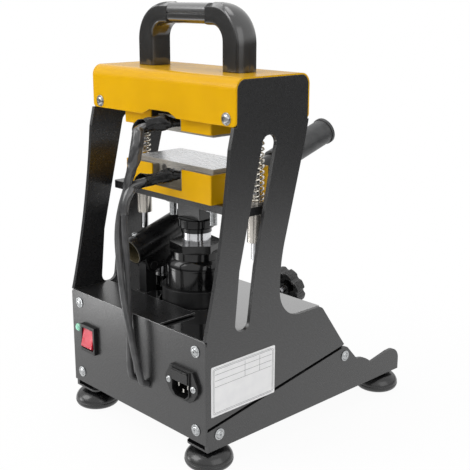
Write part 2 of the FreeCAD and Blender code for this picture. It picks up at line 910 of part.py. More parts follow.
def make_deck_plate():
    body = new_body("deck_sheet")
    half = inner_half - d.sheet_gap
    skin = d.panel_gauge * root_of(1 + slope_lean * slope_lean)
    low_z = d.deck_top - d.panel_gauge
    lip_z = d.slope_foot_height - d.fascia_lip
    front = ahead(d.slope_foot_reach)
    inner_front = front + d.panel_gauge
    inner_foot = d.slope_foot_height - (skin - d.panel_gauge) / slope_lean
    outline = [
        (rear_inside - d.sheet_gap, low_z),
        (rear_inside - d.sheet_gap, d.deck_top),
        (ahead(d.slope_top_reach), d.deck_top),
        (front, d.slope_foot_height),
        (front, lip_z),
        (inner_front, lip_z),
        (inner_front, inner_foot),
        (slope_y(low_z) + skin, low_z),
    ]
    extrude(body, "YZ", -half, half, [outline])
    under, above = low_z - d.panel_gauge, d.deck_top + d.panel_gauge
    cut(body, "XY", under, above, [], [(ZERO, back(ZERO), d.jack_well_radius)])
    cut(body, "XY", under, above, [], [(d.pump_side, back(d.pump_reach), d.pump_well_radius)])
    link_half = d.link_width / 2 + d.panel_gauge
    link_rear = back(d.fulcrum_reach + d.link_depth / 2 + d.panel_gauge)
    link_slot = rectangle((d.pump_side - link_half, back(d.pump_reach)),
                          (d.pump_side + link_half, link_rear))
    cut(body, "XY", under, above, [link_slot])
    deep = d.panel_gauge * 2
    tools = [valve_rod("valve_hole", d.spindle_hole_radius, -d.valve_bore_run, -d.knob_wall)]
    for side in (-1, 1):
        width = d.control_width - d.control_body_margin * 2 + d.sheet_gap * 2
        height = d.control_height - d.control_body_margin * 2 + d.sheet_gap * 2
        x = side * d.control_x
        tools.append(slope_block("control_hole", x, d.control_run, width, height, -deep, deep))
    return keep("deck_plate", minus("deck_plate_cut", body, fused("deck_holes", tools)))


def make_front_panel():
    body = new_body("front_panel")
    half = inner_half - d.sheet_gap
    near = ahead(d.slope_foot_reach) + d.panel_gauge
    floor = tray_floor + d.panel_gauge
    face = rectangle((-half, floor), (half, d.slope_foot_height - d.fascia_drop))
    extrude(body, "XZ", near, near + d.panel_gauge, [face])
    tab_top = d.leg_screw_front_height + d.screw_shank_radius * 2
    inside = near + d.panel_gauge
    tab = rectangle((inside, d.fascia_tab_foot), (inside + d.fascia_tab_depth, tab_top))
    hole = (ahead(leg_screw_front_reach), d.leg_screw_front_height, screw_hole)
    for side in (-1, 1):
        low, high = spans(side, half - d.panel_gauge, half)
        extrude(body, "YZ", low, high, [tab])
    cut(body, "YZ", -half, half, [], [hole])
    return keep("front_panel", body)


def make_bottom_cover():
    body = new_body("bottom_cover")
    half = inner_half - d.sheet_gap
    front = ahead(d.slope_foot_reach) + d.panel_gauge
    rear = back(d.foot_rear_reach) - d.foot_nut_radius - d.panel_gauge * 2
    floor = rectangle((-half, front), (half, rear))
    extrude(body, "XY", tray_floor, tray_floor + d.panel_gauge, [floor])
    wall_front = back(d.leg_screw_rear_reach) - d.tab_width
    wall_rear = back(d.leg_screw_rear_reach) + d.screw_head_radius
    wall = rectangle((wall_front, tray_floor), (wall_rear, tray_floor + d.tray_wall))
    hole = (back(d.leg_screw_rear_reach), d.leg_screw_rear_height, screw_hole)
    for side in (-1, 1):
        low, high = spans(side, half - d.panel_gauge, half)
        extrude(body, "YZ", low, high, [wall], [hole])
    return keep("bottom_cover", body)


tray_floor = d.foot_height + d.leg_flange_gauge
opening_floor = d.lower_platen_top
opening_roof = d.lower_platen_top + d.press_opening
lower_rim = opening_floor - d.platen_stand_out
plate_top = lower_rim - d.housing_height
plate_foot = plate_top - d.moving_plate_gauge
upper_rim = opening_roof + d.platen_stand_out
beam_foot = upper_rim + d.housing_height
beam_top = beam_foot + d.beam_gauge
guide_x = (housing_width / 2 + inner_half) / 2 - d.guide_offset
bolt_x = d.bolt_spread / 2


def make_head_cover():
    body = new_body("head_cover")
    front, rear = ahead(d.head_front_reach), back(d.head_rear_reach)
    outline = [
        (front, d.head_bottom),
        (front + d.cover_gauge, d.head_bottom),
        (front + d.cover_gauge, d.head_top - d.cover_gauge),
        (rear - d.cover_gauge, d.head_top - d.cover_gauge),
        (rear - d.cover_gauge, d.head_bottom),
        (rear, d.head_bottom),
        (rear, d.head_top),
        (front, d.head_top),
    ]
    extrude(body, "YZ", -half_width, half_width, [outline])
    round_edges(body, d.head_bend, edges_through(0, [outline[6], outline[7]]))
    inner = [outline[2], outline[3]]
    round_edges(body, d.head_bend - d.cover_gauge, edges_through(0, inner))
    under = d.head_bottom - d.cover_gauge
    notch = [
        (-d.notch_foot_half, under),
        (d.notch_foot_half, under),
        (d.notch_foot_half, d.head_bottom),
        (d.notch_top_half, d.head_bottom + d.notch_height),
        (-d.notch_top_half, d.head_bottom + d.notch_height),
        (-d.notch_foot_half, d.head_bottom),
    ]
    cut(body, "XZ", rear - d.cover_gauge * 2, rear + d.cover_gauge, [notch])
    round_edges(body, d.cover_corner, edges_through(1, [(s * half_width, d.head_bottom) for s in (-1, 1)]))
    screw_x = half_width - d.cover_screw_inset
    holes = [(s * screw_x, d.cover_screw_height, screw_hole) for s in (-1, 1)]
    cut(body, "XZ", front - d.cover_gauge, rear + d.cover_gauge, [], holes)
    handle_holes = [(s * handle_leg_x, back(ZERO), d.handle_bolt_radius + d.sheet_gap) for s in (-1, 1)]
    cut(body, "XY", d.head_top - d.cover_gauge * 2, d.head_top + d.cover_gauge, [], handle_holes)
    return keep("head_cover", body)


handle_leg_x = d.handle_half_width - d.handle_leg_width / 2


def make_head_beam():
    body = new_body("head_beam")
    depth = d.beam_depth / 2
    outline = rectangle((-inner_half, ahead(depth)), (inner_half, back(depth)))
    rods = [(s * guide_x, back(ZERO), d.guide_radius + d.run_gap) for s in (-1, 1)]
    bolts = [(s * bolt_x, back(d.bolt_reach), d.bolt_radius + d.sheet_gap) for s in (-1, 1)]
    extrude(body, "XY", beam_foot, beam_top, [outline], rods + bolts)
    return keep("head_beam", body)


def make_jack_shelf():
    half = d.shelf_depth / 2
    low = (-inner_half, ahead(half), d.shelf_top - d.shelf_gauge)
    return keep("jack_shelf", block("jack_shelf", low, (inner_half, back(half), d.shelf_top)))


def make_handle_elbow(label, side):
    body = new_body(label)
    outer, inner = side * d.handle_half_width, side * (d.handle_half_width - d.handle_leg_width)
    seam = side * (d.handle_grip_half + d.sheet_gap / 2)
    bar_foot = d.handle_top - d.handle_bar_height
    outline = [
        (inner, d.head_top),
        (outer, d.head_top),
        (outer, d.handle_top - d.handle_outer_bend),
        (outer - side * d.handle_outer_bend, d.handle_top, side * d.handle_outer_bend),
        (seam, d.handle_top),
        (seam, bar_foot),
        (inner - side * d.handle_inner_bend, bar_foot),
        (inner, bar_foot - d.handle_inner_bend, -side * d.handle_inner_bend),
    ]
    near, far = ahead(d.handle_depth / 2), back(d.handle_depth / 2)
    extrude(body, "XZ", near, far, [outline])

    def long_edge(edge):
        box = edge.BoundBox
        flat = box.YLength < 1e-6 and min(abs(box.YMin - near.value), abs(box.YMin - far.value)) < 1e-6
        at_base = box.ZLength < 1e-6 and abs(box.ZMin - d.head_top.value) < 1e-6
        at_seam = box.XLength < 1e-6 and abs(box.XMin - seam.value) < 1e-6
        return flat and not at_base and not at_seam

    round_edges(body, d.handle_edge, long_edge)
    bolt = (side * handle_leg_x, back(ZERO), d.handle_bolt_radius + d.run_gap)
    cut(body, "XY", d.head_top, d.head_top + d.handle_bolt_grip + d.seat_gap, [], [bolt])
    return keep(label, body)


def make_handle_bar():
    body = new_body("handle_bar")
    half = d.handle_grip_half - d.sheet_gap / 2
    foot = d.handle_top - d.handle_bar_height
    near, far = ahead(d.handle_depth / 2), back(d.handle_depth / 2)
    outline = rectangle((near, foot), (far, d.handle_top))
    extrude(body, "YZ", -half, half, [outline])
    round_edges(body, d.handle_edge, edges_through(0, outline))
    return keep("handle_bar", body)


def make_housing(label, floor, rim, up):
    """A sheet tray around a heated plate; up is +1 where its rim faces up, -1 where it faces down."""
    body = new_body(label)
    half_w, half_d = housing_width / 2, housing_depth / 2
    low, high = (floor, rim) if up > 0 else (rim, floor)
    outer = rectangle((-half_w, ahead(half_d)), (half_w, back(half_d)))
    bolts = [(s * bolt_x, back(d.bolt_reach), d.bolt_radius + d.sheet_gap) for s in (-1, 1)]
    extrude(body, "XY", low, high, [outer], bolts)
    round_edges(body, d.housing_gauge, edges_through(2, outer))
    in_w, in_d = half_w - d.housing_gauge, half_d - d.housing_gauge
    inner = rectangle((-in_w, ahead(in_d)), (in_w, back(in_d)))
    inside = (floor + d.housing_gauge, rim) if up > 0 else (rim, floor - d.housing_gauge)
    cut(body, "XY", inside[0], inside[1], [inner])
    sill = floor + up * d.housing_notch_sill
    notch_low, notch_high = (sill, rim) if up > 0 else (rim, sill)
    notch = rectangle((-d.housing_notch_half, notch_low), (d.housing_notch_half, notch_high))
    cut(body, "XZ", back(in_d - d.housing_gauge), back(half_d + d.housing_gauge), [notch])
    return keep(label, body)


def make_insulator(label, floor, rim, up):
    """Board that fills the housing under and around a heated plate, open behind for its leads."""
    body = new_body(label)
    half_w = housing_width / 2 - d.housing_gauge - d.sheet_gap
    half_d = housing_depth / 2 - d.housing_gauge - d.sheet_gap
    bed = platen_bed(rim, up)
    base = floor + up * d.housing_gauge
    lip = rim - up * d.platen_edge
    low, high = (base, lip) if up > 0 else (lip, base)
    outer = rectangle((-half_w, ahead(half_d)), (half_w, back(half_d)))
    bolts = [(s * bolt_x, back(d.bolt_reach), d.bolt_radius + d.sheet_gap) for s in (-1, 1)]
    extrude(body, "XY", low, high, [outer], bolts)
    pocket_w = d.platen_width / 2 + d.sheet_gap
    pocket_d = d.platen_depth / 2 + d.sheet_gap
    pocket = rectangle((-pocket_w, ahead(pocket_d)), (pocket_w, back(pocket_d)))
    pocket_low, pocket_high = (bed, lip) if up > 0 else (lip, bed)
    cut(body, "XY", pocket_low, pocket_high, [pocket])
    sill = floor + up * d.housing_notch_sill
    recess_low, recess_high = (sill, lip) if up > 0 else (lip, sill)
    recess = rectangle((-d.housing_notch_half, recess_low), (d.housing_notch_half, recess_high))
    cut(body, "XZ", back(half_d - d.insulator_recess), back(half_d), [recess])
    return keep(label, body)


def platen_bed(rim, up):
    """Height of the heated plate's hidden face."""
    return rim + up * (d.platen_stand_out - d.platen_height)


def make_platen(label, rim, up):
    body = new_body(label)
    bed, face = platen_bed(rim, up), rim + up * d.platen_stand_out
    low, high = (bed, face) if up > 0 else (face, bed)
    half_w, half_d = d.platen_width / 2, d.platen_depth / 2
    outline = rectangle((-half_w, ahead(half_d)), (half_w, back(half_d)))
    extrude(body, "XY", low, high, [outline])
    round_edges(body, d.platen_edge, edges_through(2, outline))
    middle = (low + high) / 2
    bores = [(s * d.heater_spread / 2, middle, d.heater_radius + d.run_gap) for s in (-1, 1)]
    cut(body, "XZ", back(half_d - d.heater_length), back(half_d), [], bores)
    probe = [(ZERO, middle, d.probe_radius + d.run_gap)]
    cut(body, "XZ", back(half_d - d.probe_length), back(half_d), [], probe)
    bolts = [(s * bolt_x, back(d.bolt_reach), d.bolt_radius + d.run_gap) for s in (-1, 1)]
    bite = (bed, bed + d.bolt_bite + d.seat_gap) if up > 0 else (bed - d.bolt_bite - d.seat_gap, bed)
    cut(body, "XY", bite[0], bite[1], [], bolts)
    return keep(label, body)


def make_heaters(label, rim, up):
    middle = rim + up * (d.platen_stand_out - d.platen_height / 2)
    rear = back(d.platen_depth / 2)
    pieces = []
    for side in (-1, 1):
        at = (side * d.heater_spread / 2, rear - d.heater_length, middle)
        pieces.append(cylinder("heater", d.heater_radius, d.heater_length, at, "Y"))
    at = (ZERO, rear - d.probe_length, middle)
    pieces.append(cylinder("probe", d.probe_radius, d.probe_length, at, "Y"))
    return keep(label, group(label, pieces))


def hexagon(centre, radius, turn=0.0):
    corners = []
    for step in range(6):
        angle = math.radians(60.0 * step + turn)
        corners.append((centre[0] + radius * math.cos(angle), centre[1] + radius * math.sin(angle)))
    return corners


def make_platen_bolts(label, seat, bed, up, tail):
    """Studs with a nut on two washers and a free tail; up is the way the shank points."""
    body = new_body(label)
    end = bed + up * d.bolt_bite
    middle, washers = seat - up * d.washer_gauge, seat - up * d.washer_gauge * 2
    spring_washer = d.bolt_head_radius - d.sheet_gap
    head = washers - up * d.bolt_head_height
    centres = [(s * bolt_x, back(d.bolt_reach)) for s in (-1, 1)]
    steps = [
        ([], [(x, y, d.washer_radius) for x, y in centres], seat, middle),
        ([], [(x, y, spring_washer) for x, y in centres], middle, washers),
        ([hexagon(c, d.bolt_head_radius) for c in centres], [], washers, head),
        ([], [(x, y, d.bolt_radius) for x, y in centres], end, seat),
        ([], [(x, y, d.bolt_radius) for x, y in centres], head, head - up * tail),
    ]
    for outlines, circles, far, near in steps:
        low, high = (near, far) if up > 0 else (far, near)
        extrude(body, "XY", low, high, outlines, circles)
    return keep(label, body)


def make_moving_plate():
    body = new_body("moving_plate")
    half_w, half_d = inner_half - d.plate_side_gap, d.moving_plate_depth / 2
    outline = rectangle((-half_w, ahead(half_d)), (half_w, back(half_d)))
    guides = [(s * guide_x, back(ZERO), d.bushing_radius + d.run_gap) for s in (-1, 1)]
    bolts = [(s * bolt_x, back(d.bolt_reach), d.bolt_radius + d.sheet_gap) for s in (-1, 1)]
    extrude(body, "XY", plate_foot, plate_top, [outline], guides + bolts)
    round_edges(body, d.moving_plate_corner, edges_through(2, outline))
    seat_w, seat_d = d.seat_block_width / 2, d.seat_block_depth / 2
    seat_block = rectangle((-seat_w, ahead(seat_d)), (seat_w, back(seat_d)))
    extrude(body, "XY", d.saddle_top + d.sheet_gap, plate_foot, [seat_block])
    return keep("moving_plate", body)


def make_guide_bushings():
    body = new_body("bushing")
    bore, wall, collar = d.guide_radius + d.run_gap, d.bushing_radius, d.bushing_collar_radius
    top = plate_top + d.bushing_collar_height
    outline = [
        (bore, d.bushing_foot),
        (wall, d.bushing_foot),
        (wall, plate_top),
        (collar, plate_top),
        (collar, top),
        (bore, top),
    ]
    revolve(body, outline, (ZERO, ZERO))
    pair = [copy_of(body, "guide_bushing", (side * guide_x, back(ZERO), ZERO)) for side in (-1, 1)]
    return keep("guide_bushings", group("guide_bushings", pair))


def make_guide_rods():
    """Two guide rods that hang from the beam by a nut on each."""
    top = beam_top + d.guide_nut_height + d.cover_gauge
    centres = [(s * guide_x, back(ZERO)) for s in (-1, 1)]
    length = top - d.guide_foot
    pieces = [cylinder("guide_rod", d.guide_radius, length, (x, y, d.guide_foot)) for x, y in centres]
    nuts = new_body("guide_nuts")
    bores = [(x, y, d.guide_radius + d.run_gap) for x, y in centres]
    outlines = [hexagon(c, d.guide_nut_radius) for c in centres]
    extrude(nuts, "XY", beam_top, beam_top + d.guide_nut_height, outlines, bores)
    return keep("guide_rods", group("guide_rods", pieces + [nuts]))


def make_jack_base():
    body = new_body("jack_casting")
    half_w, half_d = d.jack_base_width / 2, d.jack_base_depth / 2
    top = d.shelf_top + d.jack_base_height
    foot = rectangle((-half_w, ahead(half_d)), (half_w, back(half_d)))
    extrude(body, "XY", d.shelf_top, top, [foot])
    round_edges(body, d.jack_base_corner, edges_through(2, foot))
    pump = (d.pump_side, back(d.pump_reach))
    extrude(body, "XY", d.shelf_top, top, [], [(pump[0], pump[1], d.pump_boss_radius)])
    arm_side = d.pump_side + d.link_width / 2
    arm = rectangle((ZERO, back(d.pump_reach)), (arm_side, back(d.fulcrum_reach + d.link_depth / 2)))
    extrude(body, "XY", d.shelf_top, top, [arm])
    cup = [(ZERO, back(ZERO), d.base_cup_radius), (ZERO, back(ZERO), d.reservoir_radius + d.sheet_gap)]
    extrude(body, "XY", top, d.base_cup_top, [], cup)
    port_end = -d.spindle_run - d.seat_gap
    port = valve_rod("valve_port", d.spindle_radius + d.run_gap, port_end, -d.valve_bore_run)
    return keep("jack_base", minus("jack_base_cut", body, port))


def make_jack_cylinder():
    body = new_body("jack_cylinder")
    bore = d.ram_radius + d.run_gap
    wall = bore + d.cylinder_wall
    foot = d.shelf_top + d.jack_base_height
    revolve(body, rectangle((bore, foot), (wall, d.reservoir_shoulder_high)), (ZERO, back(ZERO)))
    return keep("jack_cylinder", body)


def make_jack_reservoir():
    body = new_body("oil_tank")
    outer, inner = d.reservoir_radius, d.reservoir_radius - d.reservoir_wall
    collar_hole = d.ram_radius + d.run_gap + d.cylinder_wall + d.sheet_gap
    foot = d.shelf_top + d.jack_base_height
    low, high = d.reservoir_shoulder_low, d.reservoir_shoulder_high
    outline = [
        (inner, foot),
        (outer, foot),
        (outer, low),
        (d.collar_radius, high, d.reservoir_shoulder_radius),
        (collar_hole, high),
        (collar_hole, high - d.reservoir_wall),
        (inner, low - d.reservoir_wall / 2),
    ]
    revolve(body, outline, (ZERO, back(ZERO)))
    hole = cylinder("filler_hole", d.filler_radius + d.sheet_gap, outer,
                    (ZERO, back(ZERO), d.filler_height), "-Y")
    return keep("jack_reservoir", minus("jack_reservoir_cut", body, hole))


def make_filler_plug():
    length = d.reservoir_wall + d.filler_length
    inside = d.reservoir_radius - d.reservoir_wall
    at = (ZERO, ahead(inside), d.filler_height)
    return keep("filler_plug", cylinder("filler_plug", d.filler_radius, length, at, "-Y"))


def make_gland_nut():
    body = new_body("jack_gland_nut")
    bore = d.ram_radius + d.run_gap
    collar = rectangle((bore, d.reservoir_shoulder_high), (d.collar_radius, d.collar_top))
    revolve(body, collar, (ZERO, back(ZERO)))
    corner = d.gland_flats / math.sqrt(3)
    flats = hexagon((ZERO, back(ZERO)), corner, d.gland_turn.value)
    extrude(body, "XY", d.collar_top, d.gland_top, [flats], [(ZERO, back(ZERO), bore)])
    return keep("jack_gland_nut", body)


def make_jack_ram():
    body = new_body("jack_ram")
    outline = [
        (ZERO, d.ram_foot),
        (d.ram_radius, d.ram_foot),
        (d.ram_radius, d.saddle_foot - d.saddle_collar_height),
        (ZERO, d.saddle_foot - d.saddle_collar_height),
    ]
    revolve(body, outline, (ZERO, back(ZERO)))
    return keep("jack_ram", body)


def make_ram_saddle():
    body = new_body("ram_saddle")
    edge = d.platen_edge
    outline = [
        (ZERO, d.saddle_foot - d.saddle_collar_height),
        (d.saddle_collar_radius, d.saddle_foot - d.saddle_collar_height),
        (d.saddle_collar_radius, d.saddle_foot),
        (d.saddle_radius - edge, d.saddle_foot),
        (d.saddle_radius, d.saddle_foot + edge),
        (d.saddle_radius, d.saddle_top - edge),
        (d.saddle_radius - edge, d.saddle_top),
        (ZERO, d.saddle_top),
    ]
    revolve(body, outline, (ZERO, back(ZERO)))
    return keep("ram_saddle", body)


def make_pump_barrel():
    body = new_body("pump_barrel")
    bore = d.plunger_radius + d.run_gap
    foot = d.shelf_top + d.jack_base_height
    outline = [
        (bore, foot),
        (d.barrel_radius, foot),
        (d.barrel_radius, d.barrel_shoulder),
        (d.barrel_neck_radius, d.barrel_shoulder),
        (d.barrel_neck_radius, d.barrel_top),
        (bore, d.barrel_top),
    ]
    revolve(body, outline, (d.pump_side, back(d.pump_reach)))
    return keep("pump_barrel", body)


def make_pump_plunger():
    body = new_body("pump_plunger")
    low = d.plunger_pin_height - d.plunger_eye_height / 2
    high = d.plunger_pin_height + d.plunger_eye_height / 2
    at = (d.pump_side, back(d.pump_reach))
    extrude(body, "XY", d.plunger_foot, low, [], [(at[0], at[1], d.plunger_radius)])
    half_w, half_d = d.plunger_eye_width / 2, d.plunger_eye_depth / 2
    eye = rectangle((back(d.pump_reach) - half_d, low), (back(d.pump_reach) + half_d, high))
    extrude(body, "YZ", d.pump_side - half_w, d.pump_side + half_w, [eye])
    middle, pin = back(d.pump_reach), d.pin_radius + d.seat_gap
    room = pin + d.pin_slot_room
    low, high = d.plunger_pin_height - pin, d.plunger_pin_height + pin
    slot = rectangle((middle - room, low), (middle + room, high))
    cut(body, "YZ", d.pump_side - half_w, d.pump_side + half_w, [slot])
    return keep("pump_plunger", body)


def make_pump_link():
    body = new_body("pump_link")
    half_w, half_d = d.link_width / 2, d.link_depth / 2
    foot, top = d.shelf_top + d.jack_base_height, d.fulcrum_height + half_d
    middle = back(d.fulcrum_reach)
    outline = rectangle((middle - half_d, foot), (middle + half_d, top))
    bore = (middle, d.fulcrum_height, d.pin_radius + d.run_gap)
    extrude(body, "YZ", d.pump_side - half_w, d.pump_side + half_w, [outline], [bore])
    round_edges(body, d.link_corner, edges_through(0, [outline[2], outline[3]]))
    reach = cheek_outer + d.cheek_gap
    pieces = [body]
    x, y, z = d.pump_side, middle, d.fulcrum_height
    pin = cylinder("fulcrum_rod", d.pin_radius, reach * 2, (x - reach, y, z), "X")
    head, gauge = d.pin_head_radius, d.pin_head_gauge
    left = cylinder("fulcrum_head", head, gauge, (x - reach - gauge, y, z), "X")
    right = cylinder("fulcrum_clip", head, gauge, (x + reach, y, z), "X")
    pieces.append(fused("fulcrum_pin", [pin, left, right]))
    return keep("pump_link", group("pump_link", pieces))


cheek_inner = d.plunger_eye_width / 2 + d.cheek_gap
cheek_outer = cheek_inner + d.cheek_gauge
lever_turn = Rotation(Vector(1, 0, 0), 90.0 - d.lever_tilt.value)
lever_cosine, lever_sine = cosine(d.lever_tilt), sine(d.lever_tilt)


def on_lever(reach, height):
    """A point beside the pump, as its rise above the lever's axis and its run along it."""
    behind = reach - d.fulcrum_reach
    above = height - d.lever_height_at_fulcrum
    return behind * lever_sine + above * lever_cosine, above * lever_sine - behind * lever_cosine


def lay_on_lever(body):
    return place(body, (d.pump_side, back(d.fulcrum_reach), d.lever_height_at_fulcrum), lever_turn)


def make_lever_socket():
    body = new_body("lever_socket")
    rear, front = -d.socket_rear_run, d.socket_front_run
    extrude(body, "XY", rear, front, [], [(ZERO, ZERO, d.socket_radius)])
    pin = on_lever(d.pump_reach, d.plunger_pin_height)
    fulcrum = on_lever(d.fulcrum_reach, d.fulcrum_height)
    cheek = [
        (-d.cheek_top_drop, fulcrum[1] - d.cheek_margin),
        (fulcrum[0] - d.cheek_margin, fulcrum[1] - d.cheek_margin),
        (pin[0] - d.cheek_margin, pin[1] + d.cheek_margin),
        (-d.cheek_top_drop, pin[1] + d.cheek_margin),
    ]
    hole = (fulcrum[0], fulcrum[1], d.pin_radius + d.run_gap)
    for side in (-1, 1):
        low, high = spans(side, cheek_inner, cheek_outer)
        extrude(body, "YZ", low, high, [cheek], [hole])
    round_edges(body, d.cheek_margin - d.seat_gap, edges_through(0, [cheek[1], cheek[2]]))
    extrude(body, "YZ", -cheek_outer, cheek_outer, [], [(pin[0], pin[1], d.pin_radius)])
    cut(body, "XY", rear, front, [], [(ZERO, ZERO, d.tube_radius + d.run_gap)])
    return keep("lever_socket", lay_on_lever(body))


def make_lever_tube():
    body = new_body("lever_tube")
    rear, front = d.socket_depth - d.socket_rear_run, d.lever_front_run - d.grip_cap
    outer, inner = (ZERO, ZERO, d.tube_radius), (ZERO, ZERO, d.tube_radius - d.tube_wall)
    extrude(body, "XY", rear, front, [], [outer, inner])
    return keep("lever_tube", lay_on_lever(body))


def make_lever_grip():
    body = new_body("lever_grip")
    bore, outer = d.tube_radius + d.run_gap, d.tube_radius + d.grip_wall
    rear, front = d.lever_front_run - d.grip_length, d.lever_front_run
    outline = [
        (bore, rear),
        (outer, rear),
        (outer, front - d.grip_cap),
        (outer + d.grip_lip, front - d.grip_cap),
        (outer + d.grip_lip, front - d.grip_lip),
        (outer, front),
        (ZERO, front),
        (ZERO, front - d.grip_cap),
        (bore, front - d.grip_cap),
    ]
    revolve(body, outline, (ZERO, ZERO))
    return keep("lever_grip", lay_on_lever(body))


def make_release_knob():
    body = new_body("knob")
    thick = d.knob_thickness
    extrude(body, "XY", ZERO, thick, [], [(ZERO, ZERO, d.knob_radius)])
    pitch = d.knob_radius + d.knob_valley_radius - d.knob_valley_depth
    lobes = int(d.knob_lobes.value)
    valleys = []
    for step in range(lobes):
        angle = math.radians(90.0 + d.knob_turn.value + 360.0 * step / lobes)
        valleys.append((pitch * math.cos(angle), pitch * math.sin(angle), d.knob_valley_radius))
    cut(body, "XY", ZERO, thick, [], valleys)
    rim = d.knob_radius - d.knob_valley_depth - d.knob_wall
    ring = [(ZERO, ZERO, rim), (ZERO, ZERO, d.knob_hub_radius)]
    cut(body, "XY", ZERO, thick - d.knob_wall, [], ring)
    place(body, on_valve(ZERO), valve_turn)
    spindle = valve_rod("valve_spindle", d.spindle_radius, -d.spindle_run, ZERO)
    return keep("release_knob", group("release_knob", [body, spindle]))


def pan_screw(head, side, flat, high, dome):
    """A pan-head screw whose head sits on the plane Z = 0 and whose shank points down."""
    body = new_body("pan_screw")
    shank = d.screw_shank_radius
    outline = [
        (ZERO, -d.screw_length),
        (shank, -d.screw_length),
        (shank, ZERO),
        (head, ZERO),
        (head, side),
        (flat, high, dome),
        (ZERO, high),
    ]
    revolve(body, outline, (ZERO, ZERO))
    return body


def make_case_screws():
    wide = pan_screw(d.screw_head_radius, d.screw_head_side, d.screw_head_flat, d.screw_head_height,
                     d.screw_head_dome)
    small = pan_screw(d.small_head_radius, d.small_head_side, d.small_head_flat, d.small_head_height,
                      d.small_head_dome)
    cover_x, panel_x = half_width - d.cover_screw_inset, half_width - d.panel_screw_inset
    inlet_face = rear_face + d.inlet_ear_gauge
    spots, inlet_spots = [], []
    for side in (-1, 1):
        spots.append((side * panel_x, rear_face, d.panel_screw_low, "Y"))
        spots.append((side * panel_x, rear_face, d.panel_screw_high, "Y"))
        spots.append((side * cover_x, back(d.head_rear_reach), d.cover_screw_height, "Y"))
        spots.append((side * cover_x, ahead(d.head_front_reach), d.cover_screw_height, "-Y"))
        inlet_spots.append((inlet_x + side * d.inlet_screw_reach, inlet_face, d.inlet_height, "Y"))
        outward = "X" if side > 0 else "-X"
        spots.append((side * half_width, back(d.leg_screw_rear_reach), d.leg_screw_rear_height, outward))
        front = ahead(leg_screw_front_reach)
        spots.append((side * half_width, front, d.leg_screw_front_height, outward))
    screws = [copy_of(wide, "case_screw", (x, y, z), TURNS[way]) for x, y, z, way in spots]
    screws += [copy_of(small, "inlet_screw", (x, y, z), TURNS[way]) for x, y, z, way in inlet_spots]
    return keep("case_screws", group("case_screws", screws))


rocker_y = rear_face - d.rocker_hinge_depth


def make_switch_bezel():
    body = new_body("switch_bezel")
    x, z = switch_x, d.switch_height
    face = rear_face + d.bezel_stand_out
    half_w, half_h = d.bezel_width / 2, d.bezel_height / 2
    rim = rectangle((x - half_w, z - half_h), (x + half_w, z + half_h))
    extrude(body, "XZ", rear_face, face, [rim])
    body_w, body_h = d.switch_body_width / 2, d.switch_body_height / 2
    case = rectangle((x - body_w, z - body_h), (x + body_w, z + body_h))
    extrude(body, "XZ", rear_face - d.switch_body_depth, rear_face, [case])
    room_w, room_h = d.rocker_half_width + d.rocker_gap, d.rocker_radius + d.rocker_gap
    room = rectangle((x - room_w, z - room_h), (x + room_w, z + room_h))
    cut(body, "XZ", rocker_y - d.rocker_room, face, [room])
    return keep("switch_bezel", body)


def make_switch_rocker():
    """A rocker whose ends are arcs about its hinge; the lower end stands proud, the upper is in."""
    body = new_body("switch_rocker")
    radius, z = d.rocker_radius, d.switch_height

    def arc_height(offset):
        return root_of(radius * radius - offset * offset)

    outline = [
        (rocker_y - d.rocker_back, z - arc_height(d.rocker_back)),
        (rocker_y + d.rocker_proud_end, z - arc_height(d.rocker_proud_end), radius),
        (rocker_y + d.rocker_waist, z),
        (rocker_y + d.rocker_pressed_end, z + arc_height(d.rocker_pressed_end)),
        (rocker_y - d.rocker_back, z + arc_height(d.rocker_back), radius),
    ]
    low, high = switch_x - d.rocker_half_width, switch_x + d.rocker_half_width
    extrude(body, "YZ", low, high, [outline])
    return keep("switch_rocker", body)


def make_pilot_lamp():
    body = new_body("pilot_lamp")
    rise = d.lamp_stand_out - d.lamp_rim
    dome = (d.lamp_radius * d.lamp_radius + rise * rise) / (rise * 2)
    outline = [
        (ZERO, -d.lamp_body_depth),
        (d.lamp_body_radius, -d.lamp_body_depth),
        (d.lamp_body_radius, ZERO),
        (d.lamp_radius, ZERO),
        (d.lamp_radius, d.lamp_rim),
        (ZERO, d.lamp_stand_out, dome),
    ]
    revolve(body, outline, (ZERO, ZERO))
    return keep("pilot_lamp", place(body, (lamp_x, rear_face, d.lamp_height), TURNS["Y"]))


inlet_face = rear_face + d.inlet_stand_out


